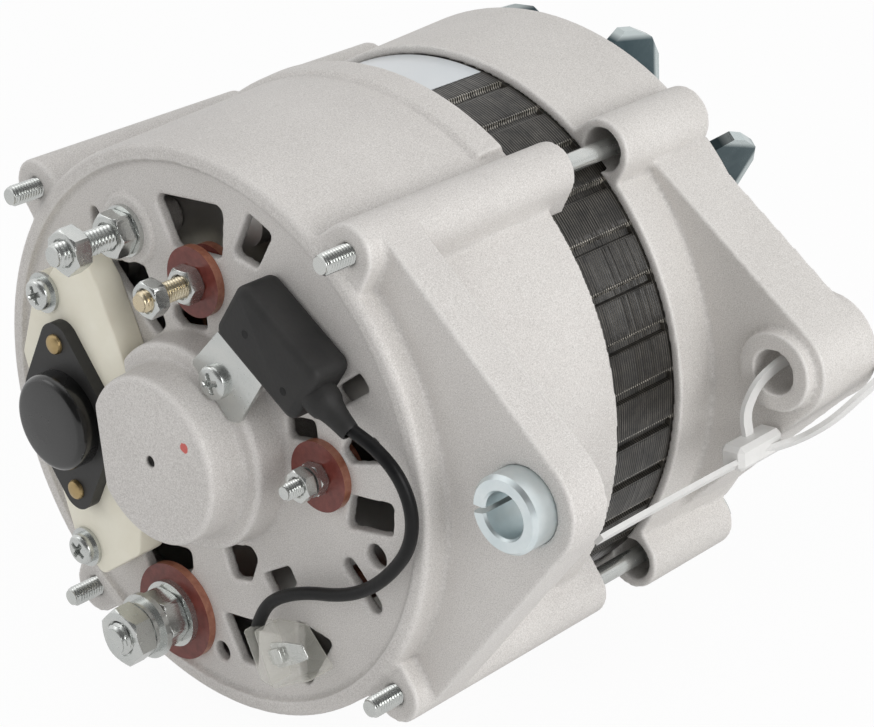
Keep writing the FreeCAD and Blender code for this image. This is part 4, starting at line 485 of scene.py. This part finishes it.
# Screws of the brush holder and of the capacitor's bracket: zinc-plated pan heads with a cross
# recess, on washers, screwed into the rear housing.
def pan_head(x, z, seat, radius, height, turn):
    """A pan head on its seat: over the head's radius its height falls as the fourth root of one less
    the radius to the fourth power, and a cross of two slots, square-sided, is sunk in its middle."""
    share = np.concatenate([[1.0, 1.0], np.linspace(0.99, 0.02, 30)])
    angle = np.arange(64) * 2 * np.pi / 64
    u = share[:, None] * np.cos(angle - math.radians(turn))
    v = share[:, None] * np.sin(angle - math.radians(turn))
    rise = height * np.clip(1 - share ** 4, 0, 1) ** 0.25 * 0.75 + height * 0.25
    rise[0] = 0
    rise[1] = height * 0.3
    narrow = np.minimum(np.abs(u), np.abs(v))
    wide = np.maximum(np.abs(u), np.abs(v))
    sunk = np.clip((0.15 - narrow) / 0.05, 0, 1) * np.clip((0.6 - wide) / 0.08, 0, 1)
    sunk = np.maximum(sunk, np.clip((0.27 - share) / 0.06, 0, 1)[:, None])
    along = seat - rise[:, None] + 0.62 * height * sunk
    return np.stack([x + radius * share[:, None] * np.cos(angle), along,
                     z + radius * share[:, None] * np.sin(angle)], -1)


def pan_screw(x, z, seat, radius, height, turn):
    """The head and, from inside it to 3 mm under the rear face, a plain M4 shank."""
    return pan_head(x, z, seat, radius, height, turn), round_rows(x, z, [seat - 0.1, 3.0], [2.0, 2.0], 24)


holder_screws = ((-44.2, 29.8, 20), (-42.4, -35.6, 50))
stands_for(closed_grids("holder_pan_screws", *[
    grid for x, z, turn in holder_screws for grid in pan_screw(x, z, -8.5, 3.9, 2.6, turn)]),
    pale_zinc, "zinc_steel", "holder_screws")
stands_for(closed_grids("bracket_pan_screw", *pan_screw(16.4, 19.9, -10.0, 4.1, 2.0, 10)),
           pale_zinc, "zinc_steel", "bracket_screw")


# The slit bush of the rear lug: a steel sleeve with chamfered mouths, turned and zinc plated. Its
# slit lets it slide in the lug, so that the pivot bolt draws it against the engine's bracket.
slit_half_width = 0.8
slit_half = math.asin(slit_half_width / 7.0)
bush_section = [(5.25, -0.9), (5.75, -1.5), (8.2, -1.5), (9.0, -0.5), (9.0, 18.1), (8.2, 19.0), (5.75, 19.0),
                (5.25, 18.4)]
bush_turns = np.linspace(np.pi + slit_half, 3 * np.pi - slit_half, 97)
bush_zinc = zinc("bush_zinc", (0.8, 0.86, 0.87), (0.68, 0.76, 0.78), 0.3)
stands_for(closed_grids("slit_sleeve", swept(92.1, 1.8, bush_section, bush_turns)), bush_zinc, "bush_steel",
           "lug_bush")


# The capacitor: a soft black case moulded round it, with two pin holes dented by bump and painted
# darker as their shade, on a stamped bracket. Its lead leaves through a tapered strain relief of the same
# soft plastic.
def rounded_slab(corners, rounding, start, end, edge):
    """A slab from start to end along Y over a convex outline, corners counterclockwise in x and z,
    each rounded to the rounding. Near both ends the outline is drawn in along its normals by the
    edge less the edge times the root of one less the square of the share that is left: a quarter
    circle."""
    corners = np.asarray(corners, float)
    side = np.roll(corners, -1, 0) - corners
    side /= np.linalg.norm(side, axis=1)[:, None]
    normal = np.stack([side[:, 1], -side[:, 0]], -1)
    before = np.roll(normal, 1, 0)
    centre = corners - rounding * (before + normal) / (1 + np.sum(before * normal, 1))[:, None]
    low = np.arctan2(before[:, 1], before[:, 0])
    high = low + (np.arctan2(normal[:, 1], normal[:, 0]) - low) % (2 * np.pi)
    angle = low[:, None] + (high - low)[:, None] * np.linspace(0, 1, 7)
    quarter = np.linspace(0, 1, 6)
    inset = edge * (1 - np.sqrt(1 - (1 - quarter) ** 2))
    along = np.concatenate([start + edge * quarter, end - edge * quarter[::-1]])
    inset = np.concatenate([inset, inset[::-1]])
    reach = (rounding - inset)[:, None, None]
    x = centre[:, 0][None, :, None] + reach * np.cos(angle)
    z = centre[:, 1][None, :, None] + reach * np.sin(angle)
    y = along[:, None, None] * np.ones_like(x)
    return np.stack([x, y, z], -1).reshape(len(along), -1, 3)


case_tilt = math.radians(-39.0)
u, v = np.transpose([(-14.2, -8.3), (14.2, -8.3), (14.2, 8.3), (-14.2, 8.3)])
case_corners = np.stack([34.9 + u * math.cos(case_tilt) - v * math.sin(case_tilt),
                         30.2 + u * math.sin(case_tilt) + v * math.cos(case_tilt)], -1)
rubber = Finish("soft_black_case")
dust = rubber.noise(90, 5, 0.65)
pores = rubber.noise(1100, 2)
# The two pin holes: painted shade, near black, and a dent in the bump.
pin_hole_shade_and_dent = (rubber.level(rubber.distance((29.6, -11.2, 33.8)), 1.1, 0.9)
        + rubber.level(rubber.distance((39.7, -11.2, 22.6)), 1.1, 0.9))
dusty = rubber.ramp(dust, (0.3, (0.017, 0.017, 0.017)), (0.75, (0.034, 0.033, 0.032)))
soft_black = rubber.surface(
    base_color=rubber.mix(pin_hole_shade_and_dent, dusty, (0.003, 0.003, 0.003)),
    roughness=rubber.level(dust, 0.3, 0.75, 0.5, 0.62), specular_ior_level=0.3,
    normal=rubber.bump(pores - pin_hole_shade_and_dent * 3, 0.3, 0.00015))
stands_for(closed_grids("capacitor_moulding", rounded_slab(case_corners, 2.8, -11.2, -0.1, 2.0)), soft_black,
           "black_plastic", "capacitor_case")
dress(nodes["capacitor_bracket"], pale_zinc)

# The strain relief is turned about the lead's first run, with a radius at each reach along it.
lead_exit, lead_next = np.array(lead_points[:2])
ahead = (lead_next - lead_exit) / np.linalg.norm(lead_next - lead_exit)
across = np.cross(ahead, (0, 1, 0))
upward = np.cross(across, ahead)
relief_reach = np.array([-1.5, -1.5, 1.6, 3.0, 4.0, 5.6, 7.6, 9.4, 10.4, 10.8, 10.8])
relief_radius = np.array([1.66, 4.3, 4.2, 3.9, 3.3, 2.9, 2.6, 2.4, 2.3, 2.1, 1.66])
turn = np.arange(32) * 2 * np.pi / 32
rings = (lead_exit + relief_reach[:, None, None] * ahead
         + relief_radius[:, None, None] * (np.cos(turn)[:, None] * across + np.sin(turn)[:, None] * upward))
stands_for(closed_grids("tapered_relief", (rings, True)), soft_black, "black_plastic", "strain_relief")


# The regulator: a matt black moulded flange under a glossy round cap, held on the brush holder by
# two brass rivets.
def moulded(name, dark, light, rough, coat=0.0):
    """Moulded plastic: cloudy in colour and gloss, with a fine orange-peel bump."""
    resin = Finish(name)
    cloud = resin.noise(120, 4)
    return resin.surface(
        base_color=resin.mix(resin.level(cloud, 0.3, 0.75), dark, light),
        roughness=resin.level(cloud, 0.3, 0.75, rough, rough + 0.12), coat_weight=coat, coat_roughness=0.12,
        normal=resin.bump(resin.noise(700, 3), 0.3, 0.00008))


regulator_x = -39.2
bend = np.linspace(0, np.pi / 2, 8)
cap_radius = np.concatenate([[12.0, 12.0], 12.0 - 1.8 * (1 - np.cos(bend)), [9.0, 5.0, 1.0]])
cap_along = np.concatenate([[-10.7, -12.0], -14.4 - 1.8 * np.sin(bend), [-16.35, -16.45, -16.5]])
matt_black = moulded("matt_black_moulding", (0.012, 0.012, 0.012), (0.026, 0.025, 0.024), 0.42)
gloss_black = moulded("gloss_black_moulding", (0.004, 0.004, 0.004), (0.008, 0.008, 0.008), 0.2, coat=0.4)
stands_for(closed_grids("round_cap", round_rows(regulator_x, 0, cap_along, cap_radius, 72)), gloss_black,
           "black_plastic", "regulator_cap")
dress(nodes["regulator_flange"], matt_black)
rivet_along = [-0.2, -10.8, -10.8, -11.3, -11.7, -12.0, -12.1]
rivet_radius = [1.6, 1.6, 2.5, 2.45, 2.2, 1.5, 0.6]
brass = zinc("brass", (0.46, 0.34, 0.17), (0.36, 0.26, 0.12), 0.34)
stands_for(closed_grids("brass_rivet_heads", *[
    round_rows(regulator_x, z, rivet_along, rivet_radius, 32) for z in (-18.6, 18.6)]),
    brass, "brass_stud", "regulator_rivets")


# The brush holder: a cream moulding let into the dome's side. A round boss under each of its two
# screws stands on the casting.
def eased(node, name, width):
    """A merged copy of the CAD solid with its flat faces joined and its edges rounded to the width."""
    made = merged(node, name)
    flat = made.modifiers.new("flat", "DECIMATE")
    flat.decimate_type, flat.angle_limit = "DISSOLVE", math.radians(0.6)
    soft = made.modifiers.new("soft", "BEVEL")
    soft.width, soft.segments, soft.angle_limit = width, 2, math.radians(40)
    soft.use_clamp_overlap, soft.harden_normals = False, True
    made.data.polygons.foreach_set("use_smooth", np.ones(len(made.data.polygons), bool))
    return made


cream = moulded("cream_moulding", (0.82, 0.78, 0.65), (0.88, 0.85, 0.73), 0.45)
stands_for(eased("brush_holder", "cream_holder", 0.0005), cream, "holder_cream", "brush_holder")
stands_for(closed_grids("holder_bosses", *[
    round_rows(x, z, [0.5, -7.0, -7.46], [5.2, 4.9, 4.4]) for x, z, turn in holder_screws]),
    cream, "holder_cream")
dress(nodes["holder_washers"], pale_zinc)
dress(nodes["terminal_washers"], pale_zinc)


# Laminate washers and bushings keep the live terminals off the casting: red-brown paper laminate,
# smooth on its face and lighter and rough at the stamped rim.
laminate = Finish("red_laminate")
fibre = laminate.noise(500, 4, 0.7)
facing_along = laminate.node("ShaderNodeSeparateXYZ", {}, {
    "Vector": laminate.node("ShaderNodeNewGeometry", {}, {}, "Normal")}, "Y").math("ABSOLUTE")
face_red = laminate.ramp(fibre, (0.3, (0.12, 0.02, 0.014)), (0.7, (0.2, 0.044, 0.032)))
rim_red = laminate.ramp(fibre, (0.3, (0.26, 0.09, 0.055)), (0.7, (0.42, 0.19, 0.125)))
red_laminate = laminate.surface(
    base_color=laminate.mix(laminate.level(facing_along, 0.4, 0.6), rim_red, face_red),
    roughness=0.34, normal=laminate.bump(fibre, 0.2, 0.00006))
for name in ("outer_insulators", "inner_insulators", "slip_ring_sleeve"):
    dress(nodes[name], red_laminate)


# The boot on the terminal's blade: a clear soft moulding in two box-shaped sections, yellowish,
# more opaque at grazing view and whiter along its creases as a painted highlight. The pressed metal blade
# shows inside it.
boot_clear = Finish("clear_boot")
swirl = boot_clear.noise(260, 3)
skin = boot_clear.node("ShaderNodeLayerWeight", {}, {"Blend": 0.4}, "Facing")
# Painted highlight: the creases are made more opaque, so the pale plastic shows whiter there.
crease_highlight = boot_clear.level(boot_clear.node("ShaderNodeNewGeometry", {}, {}, "Pointiness"), 0.52, 0.6)
clear_plastic = boot_clear.surface(
    base_color=(0.74, 0.73, 0.66), roughness=0.12,
    alpha=boot_clear.level(skin + crease_highlight * 0.6 + swirl * 0.12, 0.05, 1.1, 0.03, 0.62),
    normal=boot_clear.bump(swirl, 0.2, 0.0004))
lead_section = [(12.0, -43.4), (16.4, -55.6), (20.2, -56.2), (16.0, -42.0)]
blade_section = [(16.6, -41.8), (20.8, -56.0), (34.8, -49.8), (27.2, -40.4)]
stands_for(closed_grids("clear_boot_shell", rounded_slab(lead_section, 0.9, -8.2, -1.0, 0.8),
                        rounded_slab(blade_section, 0.9, -9.0, -1.0, 0.8)),
           clear_plastic, "boot_clear", "terminal_boot")
blade = [(17.6, -46.4), (19.6, -52.4), (25.4, -49.8), (30.6, -47.0), (29.0, -43.8), (22.8, -44.8)]
crimp = [(18.2, -47.6), (19.6, -51.2), (23.2, -49.6), (22.0, -46.0)]
stands_for(closed_grids("blade_terminal", rounded_slab(blade, 0.6, -5.4, -4.6, 0.3),
                        rounded_slab(crimp, 0.6, -6.8, -5.2, 0.4)), pale_zinc, "zinc_steel")


# The fan before the front housing: a pressed steel disc with folded blades, on the shaft between
# collar and pulley. Its bluish zinc carries a painted highlight along the blades' tips and free edges.
fan_points = np.empty(3 * len(nodes["fan"].data.vertices))
nodes["fan"].data.vertices.foreach_get("co", fan_points)
fan_points = fan_points.reshape(-1, 3) - shaft
fan_reach = 1000 * np.hypot(fan_points[:, 0], fan_points[:, 2]).max()
fan_depth = 1000 * fan_points[:, 1].max()
blue_zinc = Finish("blue_zinc")
tarnish = blue_zinc.noise(70, 4, 0.6)
east, height = blue_zinc.split("X") - shaft[0], blue_zinc.split("Z") - shaft[2]
from_shaft = (east * east + height * height).math("SQRT") * 1000
from_face = (blue_zinc.split("Y") - shaft[1]) * 1000
# Painted highlight: the blades' tips and free edges are painted pale.
bright = blue_zinc.level(from_shaft, fan_reach - 2.4, fan_reach - 1.0).math(
    "MAXIMUM", blue_zinc.level(from_face, fan_depth - 1.6, fan_depth - 0.8))
bluish = blue_zinc.mix(blue_zinc.level(tarnish, 0.35, 0.7), (0.1, 0.135, 0.145), (0.05, 0.075, 0.085))
dress(nodes["fan"], blue_zinc.surface(
    base_color=blue_zinc.mix(bright * 0.85, bluish, (0.62, 0.68, 0.68)), metallic=0.9,
    roughness=blue_zinc.level(tarnish, 0.3, 0.7, 0.22, 0.34)))


# The white nylon cable tie through the front lug, and the solids inside the machine as they are:
# carbon brushes, copper rings and windings, brass cages, bright steel shaft, poles and bearings.
nylon = moulded("white_nylon", (0.66, 0.655, 0.64), (0.74, 0.735, 0.72), 0.3)
carbon = moulded("carbon", (0.02, 0.02, 0.02), (0.05, 0.05, 0.05), 0.4)
copper = zinc("copper", (0.62, 0.3, 0.16), (0.5, 0.22, 0.1), 0.3)
steel = zinc("bright_steel", (0.58, 0.57, 0.55), (0.52, 0.51, 0.49), 0.3)
for finish, names in (
        (nylon, "cable_tie"), (carbon, "brush_rear brush_front"),
        (copper, "slip_rings stator_winding field_coil"), (brass, "front_bearing_cage rear_bearing_cage"),
        (pale_zinc, "retainer_screws bearing_retainer sink_screws shaft_nut lock_washer shaft_key "
                    "brush_spring_rear brush_spring_front"),
        (steel, "rotor_shaft claw_pole_front claw_pole_rear rotor_core fan_collar front_bearing_outer_race "
                "front_bearing_inner_race front_bearing_balls rear_bearing_outer_race "
                "rear_bearing_inner_race rear_bearing_balls diodes earth_heat_sink plus_heat_sink")):
    for name in names.split():
        dress(nodes[name], finish)


# Floor and light: a plain pale floor under the machine, a white backdrop, a dimmer room behind the
# camera and three soft lamps. The floor keeps the machine's shadow.
floor_z = cad_box[0][2]
floor_mesh = bpy.data.meshes.new("floor")
floor_mesh.from_pydata([(x, y, floor_z) for x, y in ((-8, -8), (8, -8), (8, 8), (-8, 8))], [], [(0, 1, 2, 3)])
floor = linked("floor", floor_mesh)
paper = Finish("paper")
seen = paper.node("ShaderNodeLightPath", {}, {}, "Is Camera Ray")
mirrored = paper.node("ShaderNodeLightPath", {}, {}, "Is Glossy Ray")
diffuse = paper.node("ShaderNodeBsdfDiffuse", {}, {"Color": (0.86, 0.86, 0.86)}, "BSDF")
glow = paper.node("ShaderNodeEmission", {}, {"Color": (1, 1, 1), "Strength": 1.0}, "Emission")
dress(floor, paper.close(paper.node("ShaderNodeMixShader", {}, {
    "Fac": seen * 0.95 + mirrored * 0.4, 1: diffuse, 2: glow}, "Shader")))

# The room is white to the camera and through clear plastic. Metal mirrors it white beyond the
# machine and dim behind the camera. All else is lit by it a little less from above.
world = bpy.data.worlds.new("room")
bpy.context.scene.world = world
room = Finish("room", world)
white = room.node("ShaderNodeLightPath", {}, {}, "Is Camera Ray").math(
    "MAXIMUM", room.node("ShaderNodeLightPath", {}, {}, "Is Transmission Ray"))
mirror = room.node("ShaderNodeLightPath", {}, {}, "Is Glossy Ray")
beyond = room.node("ShaderNodeVectorMath", {"operation": "DOT_PRODUCT"}, {
    0: room.place, 1: (-0.7, 0.7, 0.0)}, "Value")
backdrop = room.level(beyond, -0.5, 0.0, 0.1, 1.0)
fill = room.level(room.split("Z"), 0.1, 0.9, 0.92, 0.5)
strength = white + (1 - white) * (mirror * backdrop + (1 - mirror) * fill)
room.close(room.node("ShaderNodeBackground", {}, {"Color": (1, 1, 1), "Strength": strength}, "Background"),
           "ShaderNodeOutputWorld")
machine_middle = np.array([-0.05, 0.06, 0.0])
for name, place, width, watts in (
        ("lamp_top", (-0.25, 0.1, 1.1), 0.9, 1.0), ("lamp_left", (-0.9, -0.8, 0.7), 0.5, 1.0),
        ("lamp_right", (1.2, 0.0, 0.35), 0.7, 8.0)):
    lamp = bpy.data.lights.new(name, "AREA")
    lamp.energy, lamp.size = watts, width
    stand = bpy.data.objects.new(name, lamp)
    stand.location = place
    aim = machine_middle - np.array(place)
    stand.rotation_euler = (math.atan2(math.hypot(aim[0], aim[1]), -aim[2]), 0, math.atan2(-aim[0], aim[1]))
    bpy.context.scene.collection.objects.link(stand)
